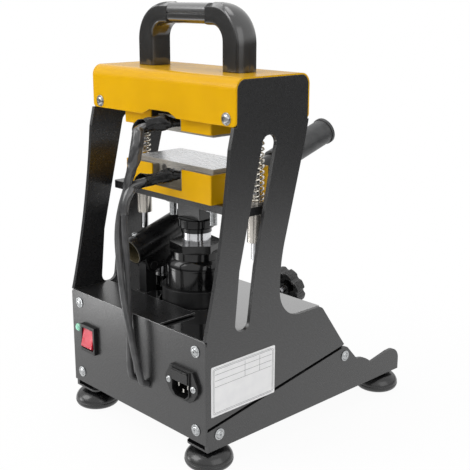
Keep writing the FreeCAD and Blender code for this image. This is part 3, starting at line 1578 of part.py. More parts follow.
def make_inlet_socket():
    body = new_body("inlet_socket")
    x, z = inlet_x, d.inlet_height
    half_w, half_h = d.inlet_width / 2, d.inlet_tall / 2
    profile = [
        (d.inlet_ear_foot_reach, -d.inlet_ear_foot_drop),
        (d.inlet_ear_waist_reach, -d.inlet_ear_waist_drop),
        (d.inlet_ear_reach, -d.inlet_ear_tip_half),
        (d.inlet_ear_reach, d.inlet_ear_tip_half),
        (d.inlet_ear_top_reach, d.inlet_ear_top_rise),
    ]
    flange = [(x + across, z + up) for across, up in profile]
    flange += [(x - across, z + up) for across, up in reversed(profile)]
    holes = [(x + s * d.inlet_screw_reach, z, screw_hole) for s in (-1, 1)]
    extrude(body, "XZ", rear_face, rear_face + d.inlet_ear_gauge, [flange], holes)
    case_z, slant = z + d.inlet_case_rise, d.inlet_chamfer
    case = [
        (x - half_w + slant, case_z - half_h),
        (x + half_w - slant, case_z - half_h),
        (x + half_w, case_z - half_h + slant),
        (x + half_w, case_z + half_h),
        (x - half_w, case_z + half_h),
        (x - half_w, case_z - half_h + slant),
    ]
    extrude(body, "XZ", rear_face - d.inlet_depth, inlet_face, [case])
    mouth_z = z - d.socket_drop
    mouth_w, mouth_h, corner = d.socket_width / 2, d.socket_height / 2, d.socket_chamfer
    mouth = [
        (x - mouth_w + corner, mouth_z - mouth_h),
        (x + mouth_w - corner, mouth_z - mouth_h),
        (x + mouth_w, mouth_z - mouth_h + corner),
        (x + mouth_w, mouth_z + mouth_h),
        (x - mouth_w, mouth_z + mouth_h),
        (x - mouth_w, mouth_z - mouth_h + corner),
    ]
    cut(body, "XZ", inlet_face - d.socket_depth_inlet, inlet_face, [mouth])
    drawer_z = z + d.drawer_rise
    bay_w, bay_h = d.drawer_width / 2 + d.sheet_gap, d.drawer_height / 2 + d.sheet_gap
    bay = rectangle((x - bay_w, drawer_z - bay_h), (x + bay_w, drawer_z + bay_h))
    cut(body, "XZ", inlet_face - d.drawer_depth - d.drawer_travel_room, inlet_face, [bay])
    return keep("inlet_socket", body)


def make_inlet_blades():
    pieces = []
    root, tip = inlet_face - d.socket_depth_inlet, inlet_face - d.blade_recess
    mouth_z = d.inlet_height - d.socket_drop
    for across, up in ((-1, 1), (0, -1), (1, 1)):
        x = inlet_x + across * d.blade_spread
        z = mouth_z + up * d.blade_offset / 2
        low = (x - d.blade_width / 2, root, z - d.blade_height / 2)
        pieces.append(block("blade", low, (x + d.blade_width / 2, tip, z + d.blade_height / 2)))
    return keep("inlet_blades", group("inlet_blades", pieces))


def make_fuse_drawer():
    body = new_body("drawer")
    x, z = inlet_x, d.inlet_height + d.drawer_rise
    half_w, half_h = d.drawer_width / 2, d.drawer_height / 2
    front, rear = inlet_face + d.drawer_proud, inlet_face - d.drawer_depth
    extrude(body, "XZ", rear, front, [rectangle((x - half_w, z - half_h), (x + half_w, z + half_h))])
    for step in (0, 2):
        rib_top = z + half_h - d.drawer_rib_gauge * step
        rib = rectangle((x - half_w, rib_top - d.drawer_rib_gauge), (x + half_w, rib_top))
        extrude(body, "XZ", front, front + d.drawer_rib_proud, [rib])
    trough_w = d.fuse_length / 2 + d.seat_gap
    near = front - d.fuse_setback
    far = near - d.fuse_radius * 2 - d.seat_gap * 2
    trough = rectangle((x - trough_w, far), (x + trough_w, near))
    cut(body, "XY", z - d.fuse_radius, z + half_h, [trough])
    middle = (near + far) / 2
    at = (x - d.fuse_length / 2, middle, z)
    fuse = cylinder("fuse", d.fuse_radius, d.fuse_length, at, "X")
    return keep("fuse_drawer", group("fuse_drawer", [body, fuse]))


def make_cable_grommets():
    body = new_body("grommet")
    bore, rim = d.lead_radius + d.run_gap, d.grommet_radius
    neck = rim - d.grommet_gauge
    inside = -d.panel_gauge
    outline = [
        (bore, inside - d.grommet_gauge),
        (rim, inside - d.grommet_gauge),
        (rim, inside),
        (neck, inside),
        (neck, d.seat_gap),
        (bore, d.seat_gap),
    ]
    revolve(body, outline, (ZERO, ZERO))
    pieces = [copy_of(body, "lead_grommet", (x, rear_face, d.lead_hole_height), TURNS["Y"])
              for x in (d.upper_lead_hole_x, d.lower_lead_hole_x)]
    return keep("cable_grommets", group("cable_grommets", pieces))


def make_sleeve(label, height):
    body = new_body(label)
    throat, mouth, outer = d.sleeve_throat_radius, d.sleeve_bore_radius, d.sleeve_radius
    inner_end, outer_end = -d.sleeve_inner_run, d.sleeve_outer_run
    outline = [
        (throat, inner_end),
        (outer, inner_end),
        (outer, outer_end),
        (mouth, outer_end),
        (mouth, outer_end - d.sleeve_mouth_depth),
        (throat, outer_end - d.sleeve_mouth_depth - d.sleeve_taper_run),
    ]
    revolve(body, outline, (ZERO, ZERO))
    turn = Rotation(Vector(0, 0, 1), -d.sleeve_turn.value).multiply(TURNS["Y"])
    return keep(label, place(body, (d.sleeve_x, back(housing_depth / 2), height), turn))


# Heater leads: x, reach behind the press axis and height of each point of the route.
UPPER_LEAD = [
    (-15.5, 36.8, 331.2), (12.2, 72.3, 331.2), (1.5, 79.0, 311.0), (12.0, 83.0, 270.0),
    (16.5, 87.2, 243.3), (16.6, 91.5, 217.6), (6.8, 96.6, 188.9), (-1.8, 99.3, 154.4),
    (-11.7, 99.9, 126.0), (-14.8, 97.1, 98.6), (-23.9, 94.4, 68.0), (-23.9, 76.0, 68.0),
]
LOWER_LEAD = [
    (-15.5, 36.8, 275.5), (12.2, 72.3, 275.5), (10.8, 76.0, 252.0), (9.0, 82.0, 232.0),
    (6.0, 87.1, 208.0), (4.1, 89.4, 182.8), (2.1, 90.5, 151.3), (1.2, 91.2, 120.4),
    (0.0, 92.1, 92.0), (-3.9, 94.4, 68.0), (-3.9, 76.0, 68.0),
]
ARC_SHARE = 0.45


def rounded_path(points):
    """Straight runs joined by tangent arcs, each as large as its two runs allow."""
    edges, radii, cursor = [], [], points[0]
    for before, corner, after in zip(points, points[1:], points[2:]):
        inward, outward = before - corner, after - corner
        reach = ARC_SHARE * min(inward.Length, outward.Length)
        half_turn = (math.pi - inward.getAngle(outward)) / 2
        radius = reach / math.tan(half_turn)
        inward.normalize()
        outward.normalize()
        start, end = corner + inward * reach, corner + outward * reach
        middle = inward + outward
        middle.normalize()
        apex = corner + middle * (radius / math.cos(half_turn) - radius)
        edges.append(Part.LineSegment(cursor, start).toShape())
        edges.append(Part.Arc(start, apex, end).toShape())
        radii.append(radius)
        cursor = end
    edges.append(Part.LineSegment(cursor, points[-1]).toShape())
    return Part.Wire(edges), radii


def swept_tube(path, radius):
    """A round solid along a path, started square to its first edge."""
    first = path.Edges[0]
    start = first.valueAt(first.FirstParameter)
    heading = first.tangentAt(first.FirstParameter)
    ring = Part.Wire([Part.Circle(start, heading, radius).toShape()])
    shell = Part.BRepOffsetAPI.MakePipeShell(path)
    shell.add(ring)
    shell.build()
    shell.makeSolid()
    return shell.shape()


def make_lead(label, route):
    axis = d.press_axis_back.value
    points = [Vector(x, axis + reach, z) for x, reach, z in route]
    path, radii = rounded_path(points)
    radius = d.lead_radius.value
    tube = swept_tube(path, radius)
    share = tube.Volume / (math.pi * radius ** 2 * path.Length)
    print("%s: %.0f mm long, volume share %.4f, radii %s"
          % (label, path.Length, share, " ".join("%.1f" % r for r in radii)))
    lead = doc.addObject("Part::Feature", label)
    lead.Shape = tube
    return keep(label, lead)


def biarc(start, heading, end, end_heading):
    """Two arcs that leave start along heading and reach end along end_heading."""
    chord, sum_way = end - start, heading + end_heading
    spread = 2 * (1 - heading.dot(end_heading))
    along = chord.dot(sum_way)
    reach = (math.sqrt(along * along + spread * chord.dot(chord)) - along) / spread
    first, second = start + heading * reach, end - end_heading * reach
    joint = (first + second) * 0.5
    return [arc_by_tangents(start, first, joint), arc_by_tangents(joint, second, end)]


def arc_by_tangents(start, corner, end):
    """The arc whose end tangents meet at corner."""
    half_turn = (math.pi - (start - corner).getAngle(end - corner)) / 2
    weight = math.cos(half_turn)
    apex = (start + end + corner * (2 * weight)) * (0.5 / (1 + weight))
    return Part.Arc(start, apex, end)


SEAT_TURN = 0.125
NEXT_TURNS = 5


def coil_path(foot, top, radius, wire, turns):
    """Straight ends one wire thick, square to their seats, and a steady helix between them."""
    end_run = d.spring_end_run.value
    rise_low, rise_high = foot + end_run, top - end_run
    pitch = (rise_high - rise_low) / turns
    slope = pitch / (2 * math.pi * radius)

    def on_coil(turn, height):
        angle = 2 * math.pi * turn
        spot = Vector(radius * math.cos(angle), radius * math.sin(angle), height)
        way = Vector(-math.sin(angle), math.cos(angle), slope)
        way.normalize()
        return spot, way

    upward = Vector(0, 0, 1)
    low_spot = on_coil(-SEAT_TURN, foot)[0]
    high_spot = on_coil(turns + SEAT_TURN, top)[0]
    stations = [(low_spot + upward * wire, upward)]
    quarters = int(round(turns * 4))
    stations += [on_coil(step / 4.0, rise_low + pitch * step / 4.0) for step in range(quarters + 1)]
    stations.append((high_spot - upward * wire, upward))
    edges = [Part.LineSegment(low_spot, stations[0][0]).toShape()]
    for (a, way_a), (b, way_b) in zip(stations, stations[1:]):
        edges += [arc.toShape() for arc in biarc(a, way_a, b, way_b)]
    edges.append(Part.LineSegment(stations[-1][0], high_spot).toShape())
    return Part.Wire(edges), pitch


def tightest(path):
    return min(edge.Curve.Radius for edge in path.Edges if isinstance(edge.Curve, Part.Circle))


def least_gap(path, wire, apart):
    """Smallest clear distance between stretches of one tube that lie at least `apart` along it."""
    points = path.discretize(Distance=wire / 2)
    step = path.Length / (len(points) - 1)
    skip = int(math.ceil(apart / step))
    last = len(points)
    nearest = min((points[i] - points[j]).Length
                  for i in range(last) for j in range(i + skip, min(last, i + skip * NEXT_TURNS)))
    return nearest - wire


def make_return_springs():
    wire, radius = d.spring_wire_radius.value * 2, d.spring_radius.value
    foot = plate_top.value + d.bushing_collar_height.value
    turns = int(d.spring_turns.value)
    path, pitch = coil_path(foot, beam_foot.value, radius, wire, turns)
    coil = swept_tube(path, wire / 2)
    share = coil.Volume / (math.pi * wire ** 2 / 4 * path.Length)
    print("return spring: pitch %.2f, tightest radius %.2f, least gap to itself %.2f, volume share %.4f"
          % (pitch, tightest(path), least_gap(path, wire, math.pi * radius), share))
    spring = doc.addObject("Part::Feature", "spring_coil")
    spring.Shape = coil
    twins = [copy_of(spring, "return_spring", (side * guide_x, back(ZERO), ZERO)) for side in (-1, 1)]
    return keep("return_springs", group("return_springs", twins))


def make_rating_plate():
    low = (-half_width - d.label_gauge, back(d.label_front_reach), d.label_bottom)
    high = (-half_width, back(d.label_rear_reach), d.label_top)
    return keep("rating_plate", block("rating_plate", low, high))


def make_rubber_feet():
    body = new_body("foot")
    outline = [
        (ZERO, ZERO),
        (d.foot_sole_radius, ZERO),
        (d.foot_radius, d.foot_rim_height, d.foot_sole_round),
        (d.foot_shoulder_radius, d.foot_waist_height, d.foot_radius - d.foot_shoulder_radius),
        (d.foot_neck_radius, d.foot_waist_height),
        (d.foot_neck_radius, d.foot_height),
        (d.foot_stud_radius, d.foot_height),
        (d.foot_stud_radius, d.foot_height - d.foot_stud_depth),
        (ZERO, d.foot_height - d.foot_stud_depth),
    ]
    revolve(body, outline, (ZERO, ZERO))
    feet = [copy_of(body, "rubber_foot", (x, y, ZERO)) for x, y in foot_spots()]
    return keep("rubber_feet", group("rubber_feet", feet))


def foot_spots():
    x = half_width - d.foot_inset
    rows = (back(d.foot_rear_reach), ahead(foot_front_reach))
    return [(side * x, y) for side in (-1, 1) for y in rows]


def make_frame_bolts():
    """The handle's bolts under the head cover, and the studs and nuts that hold the feet."""
    pieces = []
    seat = d.head_top - d.cover_gauge
    for side in (-1, 1):
        x, y = side * handle_leg_x, back(ZERO)
        length, high = d.cover_gauge + d.handle_bolt_grip, d.handle_bolt_head_height
        shank = cylinder("handle_bolt", d.handle_bolt_radius, length, (x, y, seat))
        head = cylinder("handle_bolt_head", d.handle_bolt_head_radius, high, (x, y, seat - high))
        pieces.append(fused("handle_bolt_whole", [shank, head]))
    low = d.foot_height - d.foot_stud_depth
    flange_top = d.foot_height + d.leg_flange_gauge
    for x, y in foot_spots():
        reach = d.foot_stud_depth + d.leg_flange_gauge + d.foot_nut_height
        stud = cylinder("foot_stud", d.foot_stud_radius - d.run_gap, reach, (x, y, low))
        nut = cylinder("foot_nut", d.foot_nut_radius, d.foot_nut_height, (x, y, flange_top))
        pieces.append(fused("foot_bolt", [stud, nut]))
    return keep("frame_bolts", group("frame_bolts", pieces))


def make_controllers():
    pieces = []
    for side in (-1, 1):
        x, down, deep = side * d.control_x, d.control_run, d.control_depth
        width, height = d.control_width, d.control_height
        rim = slope_block("control_rim", x, down, width, height, ZERO, d.control_stand_out)
        width, height = width - d.control_body_margin * 2, height - d.control_body_margin * 2
        case = slope_block("control_case", x, down, width, height, -deep, ZERO)
        whole = fused("control_body", [rim, case])
        low, high = d.control_stand_out - d.window_gauge, d.control_stand_out * 2
        window = slope_block("window_recess", x, down - d.window_rise, d.window_width + d.sheet_gap,
                             d.window_height + d.sheet_gap, low, high)
        tools = [window]
        for key_x, key_down in key_spots(x, down):
            tools.append(slope_rod("key_hole", key_x, key_down, d.button_radius + d.run_gap,
                                   d.control_stand_out - d.window_gauge, high))
        pieces.append(minus("controller", whole, fused("control_recesses", tools)))
    return keep("temperature_controllers", group("temperature_controllers", pieces))


def key_spots(x, down):
    return [(x + step * d.button_spread, down + d.button_drop) for step in (-1, 0, 1)]


def make_controller_faces():
    """Display windows and the sealed membrane keys below them."""
    pieces = []
    low = d.control_stand_out - d.window_gauge
    for side in (-1, 1):
        x, down = side * d.control_x, d.control_run
        window = slope_block("window", x, down - d.window_rise, d.window_width, d.window_height, low,
                             d.control_stand_out)
        pieces.append(window)
        for key_x, key_down in key_spots(x, down):
            pieces.append(slope_rod("key", key_x, key_down, d.button_radius, low,
                                    d.control_stand_out + d.button_stand_out))
    return keep("controller_faces", group("controller_faces", pieces))


def make_relays():
    """Two relays and a terminal block that stand on the bottom cover."""
    floor = tray_floor + d.panel_gauge
    pieces = []
    for side in (-1, 1):
        x, y = side * d.relay_x, back(d.relay_reach)
        half_w, half_d = d.relay_width / 2, d.relay_depth / 2
        top = floor + d.relay_height
        pieces.append(block("relay", (x - half_w, y - half_d, floor), (x + half_w, y + half_d, top)))
    half_w, half_d = d.terminal_width / 2, d.terminal_depth / 2
    y, top = back(d.terminal_reach), floor + d.terminal_height
    pieces.append(block("terminals", (-half_w, y - half_d, floor), (half_w, y + half_d, top)))
    return keep("relays_and_terminals", group("relays_and_terminals", pieces))


def finish_document():
    """Recomputes, tests every object, and writes one file for each sub-part."""
    doc.recompute()
    broken = [thing.Name for thing in doc.Objects if {"Invalid", "Error"} & set(thing.State)]
    if broken:
        raise ValueError("not computed: " + ", ".join(broken))
    for label, node in nodes.items():
        if node.Shape.isNull() or not node.Shape.isValid():
            raise ValueError("not a valid solid: " + label)
    os.makedirs("parts", exist_ok=True)
    for label, node in nodes.items():
        node.Shape.exportStep("parts/%s.step" % label)
        print("%-24s %2d solids %12.1f mm3" % (label, len(node.Shape.Solids), node.Shape.Volume))


lower_bed, upper_bed = platen_bed(lower_rim, 1), platen_bed(upper_rim, -1)
for name, side in (("left", -1), ("right", 1)):
    make_side_plate(name + "_side_plate", side)
    make_leg(name + "_leg", side)
    make_handle_elbow("handle_%s_elbow" % name, side)
make_rear_panel()
make_deck_plate()
make_front_panel()
make_bottom_cover()
make_head_cover()
make_head_beam()
make_jack_shelf()
make_handle_bar()
make_housing("lower_housing", plate_top, lower_rim, 1)
make_housing("upper_housing", beam_foot, upper_rim, -1)
make_insulator("lower_insulator", plate_top, lower_rim, 1)
make_insulator("upper_insulator", beam_foot, upper_rim, -1)
make_platen("lower_platen", lower_rim, 1)
make_platen("upper_platen", upper_rim, -1)
make_heaters("lower_heaters", lower_rim, 1)
make_heaters("upper_heaters", upper_rim, -1)
make_platen_bolts("lower_platen_bolts", plate_foot, lower_bed, 1, d.bolt_tail)
make_platen_bolts("upper_platen_bolts", beam_top, upper_bed, -1, d.upper_bolt_tail)
make_moving_plate()
make_guide_bushings()
make_guide_rods()
make_return_springs()
make_jack_base()
make_jack_cylinder()
make_jack_reservoir()
make_filler_plug()
make_gland_nut()
make_jack_ram()
make_ram_saddle()
make_pump_barrel()
make_pump_plunger()
make_pump_link()
make_lever_socket()
make_lever_tube()
make_lever_grip()
make_release_knob()
make_case_screws()
make_switch_bezel()
make_switch_rocker()
make_pilot_lamp()
make_inlet_socket()
make_inlet_blades()
make_fuse_drawer()
make_cable_grommets()
make_sleeve("upper_lead_sleeve", d.upper_sleeve_height)
make_sleeve("lower_lead_sleeve", d.lower_sleeve_height)
make_lead("upper_heater_cable", UPPER_LEAD)
make_lead("lower_heater_cable", LOWER_LEAD)
make_rating_plate()
make_rubber_feet()
make_frame_bolts()
make_controllers()
make_controller_faces()
make_relays()
finish_document()
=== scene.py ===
import math

import bmesh
import bpy
from mathutils import Matrix, Vector, noise
from mathutils.kdtree import KDTree


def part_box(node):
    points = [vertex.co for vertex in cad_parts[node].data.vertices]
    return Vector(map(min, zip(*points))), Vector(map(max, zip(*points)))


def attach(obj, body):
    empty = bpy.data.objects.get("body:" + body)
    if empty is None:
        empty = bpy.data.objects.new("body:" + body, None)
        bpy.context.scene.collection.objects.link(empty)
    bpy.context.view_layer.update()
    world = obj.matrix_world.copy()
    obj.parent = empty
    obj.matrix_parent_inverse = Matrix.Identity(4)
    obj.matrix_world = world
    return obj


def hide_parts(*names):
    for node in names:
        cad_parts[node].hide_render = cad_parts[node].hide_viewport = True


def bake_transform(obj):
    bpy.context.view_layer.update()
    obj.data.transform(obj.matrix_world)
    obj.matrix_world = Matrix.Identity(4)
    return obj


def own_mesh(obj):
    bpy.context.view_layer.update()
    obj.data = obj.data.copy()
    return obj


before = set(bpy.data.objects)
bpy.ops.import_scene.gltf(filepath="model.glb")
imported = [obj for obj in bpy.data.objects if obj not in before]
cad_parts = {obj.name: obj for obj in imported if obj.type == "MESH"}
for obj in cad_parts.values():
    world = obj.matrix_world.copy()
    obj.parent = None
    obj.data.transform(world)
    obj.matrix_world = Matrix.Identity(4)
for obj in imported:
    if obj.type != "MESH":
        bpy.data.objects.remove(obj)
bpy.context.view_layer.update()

# Heated twin-plate press: +Z up, the operator at -Y. The scene is in metres, and most lengths here are in
# millimetres. The jack, the guides and the handle stand in the plane Y = PRESS_AXIS.
PRESS_AXIS = 91.17


def behind(x, reach, z):
    """A place given in millimetres, its reach counted backwards from the jack's axis."""
    return Vector((x / 1000, (PRESS_AXIS + reach) / 1000, z / 1000))


# Camera
def make_camera():
    right = Vector((-0.68857, -0.72516, 0.0033)).normalized()
    ahead = Vector((0.69980, -0.66567, -0.25918)).normalized()
    up = right.cross(ahead).normalized()
    camera = bpy.data.objects.new("photo_camera", bpy.data.cameras.new("photo_camera"))
    bpy.context.scene.collection.objects.link(camera)
    turn = Matrix((right, up, -ahead)).transposed()
    camera.matrix_world = Matrix.Translation((-0.6975, 0.6981, 0.4521)) @ turn.to_4x4()
    camera.data.lens = 68.8
    camera.data.sensor_width = 36.0
    bpy.context.scene.camera = camera


make_camera()


# Finishes
def paint(red, green, blue):
    """A colour as read from a swatch, 0 to 255, in the shader's own scale."""
    steps = [channel / 255 for channel in (red, green, blue)]
    return tuple(s / 12.92 if s <= 0.04045 else ((s + 0.055) / 1.055) ** 2.4 for s in steps)


class Finish:
    """A surface finish made of nodes that read the object's own coordinates."""

    def __init__(self, name, colour, roughness, metallic=0.0, **sockets):
        self.material = bpy.data.materials.new(name)
        self.material.use_nodes = True
        self.tree = self.material.node_tree
        self.shader = self.tree.nodes["Principled BSDF"]
        self.shader.inputs["Base Color"].default_value = (*colour, 1.0)
        self.shader.inputs["Roughness"].default_value = roughness
        self.shader.inputs["Metallic"].default_value = metallic
        for socket, value in sockets.items():
            self.shader.inputs[socket.replace("_", " ")].default_value = value
        self.normal = None

    def node(self, kind, **values):
        made = self.tree.nodes.new("ShaderNode" + kind)
        for name, value in values.items():
            made.inputs[name.replace("_", " ")].default_value = value
        return made

    def link(self, start, end):
        self.tree.links.new(start, end)

    def place(self, stretch=(1.0, 1.0, 1.0)):
        """The object's own coordinates, stretched."""
        mapping = self.node("Mapping", Scale=stretch)
        self.link(self.node("TexCoord").outputs["Object"], mapping.inputs["Vector"])
        return mapping.outputs["Vector"]

    def grain(self, scale, detail=3.0, stretch=(1.0, 1.0, 1.0), warp=0.0):
        pattern = self.node("TexNoise", Scale=scale, Detail=detail, Distortion=warp)
        self.link(self.place(stretch), pattern.inputs["Vector"])
        return pattern.outputs[0]

    def ramp(self, factor, dark, light, low=0.35, high=0.65):
        ramp = self.node("ValToRGB")
        ends = ramp.color_ramp.elements
        ends[0].position, ends[1].position = low, high
        ends[0].color, ends[1].color = (*dark, 1.0), (*light, 1.0)
        self.link(factor, ramp.inputs["Fac"])
        return ramp.outputs["Color"]

    def tones(self, factor, dark, light, low=0.35, high=0.65):
        """Two tones of the surface, mottled by a pattern."""
        tone = self.ramp(factor, dark, light, low, high)
        self.link(tone, self.shader.inputs["Base Color"])
        return tone

    def blend(self, factor, first, second):
        """Mixes two colours, each given as numbers or as a node's output, into the surface."""
        mix = self.node("Mix")
        mix.data_type = "RGBA"
        self.link(factor, mix.inputs[0])
        for socket, colour in zip((mix.inputs[6], mix.inputs[7]), (first, second)):
            if isinstance(colour, tuple):
                socket.default_value = (*colour, 1.0)
            else:
                self.link(colour, socket)
        self.link(mix.outputs[2], self.shader.inputs["Base Color"])

    def span(self, value, start, end, low=0.0, high=1.0):
        """Maps a value's span to another one, without going past its ends."""
        made = self.node("MapRange", From_Min=start, From_Max=end, To_Min=low, To_Max=high)
        self.link(value, made.inputs["Value"])
        return made

    def gloss(self, factor, low, high):
        span = self.span(factor, 0.3, 0.7, low, high)
        self.link(span.outputs["Result"], self.shader.inputs["Roughness"])

    def soft_edges(self, radius=0.0006):
        bevel = self.node("Bevel", Radius=radius)
        bevel.samples = 6
        self.normal = bevel.outputs["Normal"]
        self.link(self.normal, self.shader.inputs["Normal"])

    def relief(self, factor, depth, strength=1.0):
        bump = self.node("Bump", Strength=strength, Distance=depth)
        self.link(factor, bump.inputs["Height"])
        if self.normal is not None:
            self.link(self.normal, bump.inputs["Normal"])
        self.normal = bump.outputs["Normal"]
        self.link(self.normal, self.shader.inputs["Normal"])

    def edge_wear_and_painted_highlight(self, colour, bright, radius=0.0007, amount=0.6, above=None):
        """Lighter edges: where the rounded and the flat normal part, the colour turns to the bright one, standing
        for rubbed paint on most coats, and for a painted highlight along the rear panel's top edge and the deck's
        edges.

        With a height given, only the edges above it are lightened."""
        bevel = self.node("Bevel", Radius=radius)
        bevel.samples = 6
        flat = self.node("NewGeometry")
        dot = self.node("VectorMath")
        dot.operation = "DOT_PRODUCT"
        self.link(bevel.outputs["Normal"], dot.inputs[0])
        self.link(flat.outputs["Normal"], dot.inputs[1])
        edge = self.span(dot.outputs["Value"], 0.97, 0.8, 0.0, amount)
        if above is not None:
            split = self.node("SeparateXYZ")
            self.link(self.place(), split.inputs[0])
            high = self.span(split.outputs["Z"], above - 0.0002, above, 0.0, amount)
            self.link(high.outputs["Result"], edge.inputs["To Max"])
        self.blend(edge.outputs["Result"], colour, bright)


def powder_coat(name, dark, light, roughness, specular=0.5, rim=(96, 0.5, None)):
    """Fine-textured satin coat on sheet steel. The rim is its edges' tone, how strong, and above which height:
    rubbed paint by default, and on the rear panel a near-white painted highlight along its top edge.
    """
    coat = Finish(name, light, roughness, Specular_IOR_Level=specular)
    colour = coat.tones(coat.grain(260.0, 4.0), dark, light)
    coat.gloss(coat.grain(900.0, 2.0), roughness - 0.05, roughness + 0.05)
    coat.soft_edges(0.0006)
    coat.relief(coat.grain(1500.0, 2.0), 0.00004, 0.5)
    tone, amount, above = rim
    coat.edge_wear_and_painted_highlight(colour, paint(tone, tone, tone), 0.0007, amount, above)
    return coat.material


def glossy_paint(name, colour, deep, roughness, coat=0.5, specular=0.5, coat_ior=1.5, edge=None):
    """Smooth stoved enamel with a little orange peel."""
    shell = Finish(name, colour, roughness, Coat_Weight=coat, Coat_Roughness=0.06, Coat_IOR=coat_ior,
                   Specular_IOR_Level=specular)
    tone = shell.tones(shell.grain(38.0, 2.0), deep, colour, 0.2, 0.7)
    shell.gloss(shell.grain(120.0, 2.0), roughness - 0.04, roughness + 0.05)
    shell.soft_edges(0.0009)
    shell.relief(shell.grain(420.0, 1.0), 0.00003, 0.25)
    # Where an edge tone is given, the edges turn to it: a painted highlight along them.
    if edge:
        shell.edge_wear_and_painted_highlight(tone, edge, 0.0012, 1.0)
    return shell.material


def bare_metal(name, colour, deep, roughness, stretch=(1.0, 1.0, 1.0), scale=300.0, metallic=1.0):
    """Plated or machined metal with its fine tool marks."""
    metal = Finish(name, colour, roughness, metallic)
    marks = metal.grain(scale, 4.0, stretch)
    metal.tones(marks, deep, colour, 0.25, 0.7)
    metal.gloss(marks, roughness - 0.05, roughness + 0.1)
    metal.soft_edges(0.0004)
    metal.relief(marks, 0.00002, 0.3)
    return metal.material


def moulded(name, colour, deep, roughness, scale=700.0, depth=0.00005, **sockets):
    """Moulded plastic or rubber with an eroded mould's fine grain."""
    plastic = Finish(name, colour, roughness, **sockets)
    plastic.tones(plastic.grain(90.0, 3.0), deep, colour)
    plastic.gloss(plastic.grain(scale / 2, 2.0), roughness - 0.05, roughness + 0.07)
    plastic.soft_edges(0.0007)
    if depth:
        plastic.relief(plastic.grain(scale, 2.0), depth, 0.5)
    return plastic.material


# The lever's middle line: tilted up towards the operator, over the pump. Its lift is square to it, in metres
LEVER_X, LEVER_BORE = 57.7, 13.5
LEVER_TILT = math.radians(17.92)
LEVER_LIFT = 0.1885 * math.cos(LEVER_TILT) + 0.11317 * math.sin(LEVER_TILT)


def socket_enamel():
    """Black enamel on the lever's socket, with oiled bare steel inside its bore."""
    shell = Finish("lever_enamel", paint(18, 18, 19), 0.3)
    place = shell.node("TexCoord").outputs["Object"]
    for settings in ({"Location": (-LEVER_X / 1000, 0.0, 0.0)}, {"Rotation": (LEVER_TILT, 0.0, 0.0)},
                     {"Location": (0.0, 0.0, -LEVER_LIFT), "Scale": (1.0, 0.0, 1.0)}):
        mapping = shell.node("Mapping", **settings)
        shell.link(place, mapping.inputs["Vector"])
        place = mapping.outputs["Vector"]
    reach = shell.node("VectorMath")
    reach.operation = "LENGTH"
    shell.link(place, reach.inputs[0])
    inside = shell.span(reach.outputs["Value"], (LEVER_BORE + 0.2) / 1000, LEVER_BORE / 1000)
    enamel = shell.ramp(shell.grain(60.0, 3.0), paint(13, 13, 14), paint(22, 22, 23))
    bare = shell.ramp(shell.grain(220.0, 4.0), paint(62, 56, 40), paint(96, 88, 66), 0.3, 0.7)
    shell.blend(inside.outputs["Result"], enamel, bare)
    shell.gloss(shell.grain(140.0, 3.0), 0.24, 0.36)
    shell.soft_edges(0.0008)
    shell.relief(shell.grain(160.0, 3.0), 0.00012, 0.35)
    return shell.material


def heated_plate():
    """Aluminium plate: its flat faces polished and bright, its upright sides painted darker and less metallic as
    painted shade.
    """
    plate = Finish("heated_aluminium", paint(244, 245, 247), 0.24)
    marks = plate.grain(90.0, 4.0, (1, 30, 30))
    lying = plate.node("SeparateXYZ")
    plate.link(plate.node("NewGeometry").outputs["Normal"], lying.inputs[0])
    level = plate.node("Math")
    level.operation = "ABSOLUTE"
    plate.link(lying.outputs["Z"], level.inputs[0])
    face = plate.span(level.outputs[0], 0.4, 0.7).outputs["Result"]
    bright = plate.ramp(marks, paint(243, 244, 246), paint(249, 250, 251), 0.25, 0.7)
    # The upright sides are coloured darker than the flat faces: painted shade.
    plate.blend(face, paint(190, 186, 178), bright)
    plate.link(plate.span(face, 0.0, 1.0, 0.35, 0.6).outputs["Result"], plate.shader.inputs["Metallic"])
    plate.gloss(marks, 0.24, 0.3)
    plate.soft_edges(0.0004)
    plate.relief(marks, 0.000004, 0.2)
    return plate.material


plate_black = powder_coat("satin_black_coat", paint(25, 25, 26), paint(32, 32, 33), 0.3, 0.95)
# The rear panel's top edge gets a near-white rim: a painted highlight where the edge catches the light.
panel_black = powder_coat("panel_black_coat", paint(25, 25, 26), paint(32, 32, 33), 0.3, 0.95,
                          (250, 1.0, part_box("rear_panel")[1][2] - 0.0012))
# The deck's edges turn near white: a painted highlight along them.
deck_black = glossy_paint("mirror_black_coat", paint(20, 20, 21), paint(14, 14, 15), 0.12, 1.0, 0.8, 2.1,
                          paint(236, 236, 236))
press_yellow = glossy_paint("press_yellow", paint(234, 178, 4), paint(227, 170, 2), 0.22, 0.0, 0.2)
jack_black = glossy_paint("jack_enamel", paint(12, 12, 13), paint(7, 7, 8), 0.16, 0.2, 0.4)
platen_metal = heated_plate()
chrome = bare_metal("chrome", paint(226, 226, 228), paint(196, 197, 200), 0.12)
nickel = bare_metal("nickel", paint(236, 230, 222), paint(212, 206, 196), 0.18, (1, 1, 0.1), metallic=0.75)
spring_wire = bare_metal("spring_wire", paint(240, 235, 224), paint(214, 208, 194), 0.16, metallic=0.8)
zinc = bare_metal("zinc_plate", paint(200, 202, 203), paint(158, 160, 161), 0.24)
steel = bare_metal("turned_steel", paint(160, 160, 162), paint(122, 122, 125), 0.3, (1, 1, 8))
blade_metal = bare_metal("contact_blade", paint(226, 224, 218), paint(196, 194, 188), 0.2)
handle_black = moulded("handle_plastic", paint(44, 44, 44), paint(38, 38, 38), 0.2, 60.0, 0.0,
                       Specular_IOR_Level=0.8, Coat_Weight=0.5, Coat_Roughness=0.1)
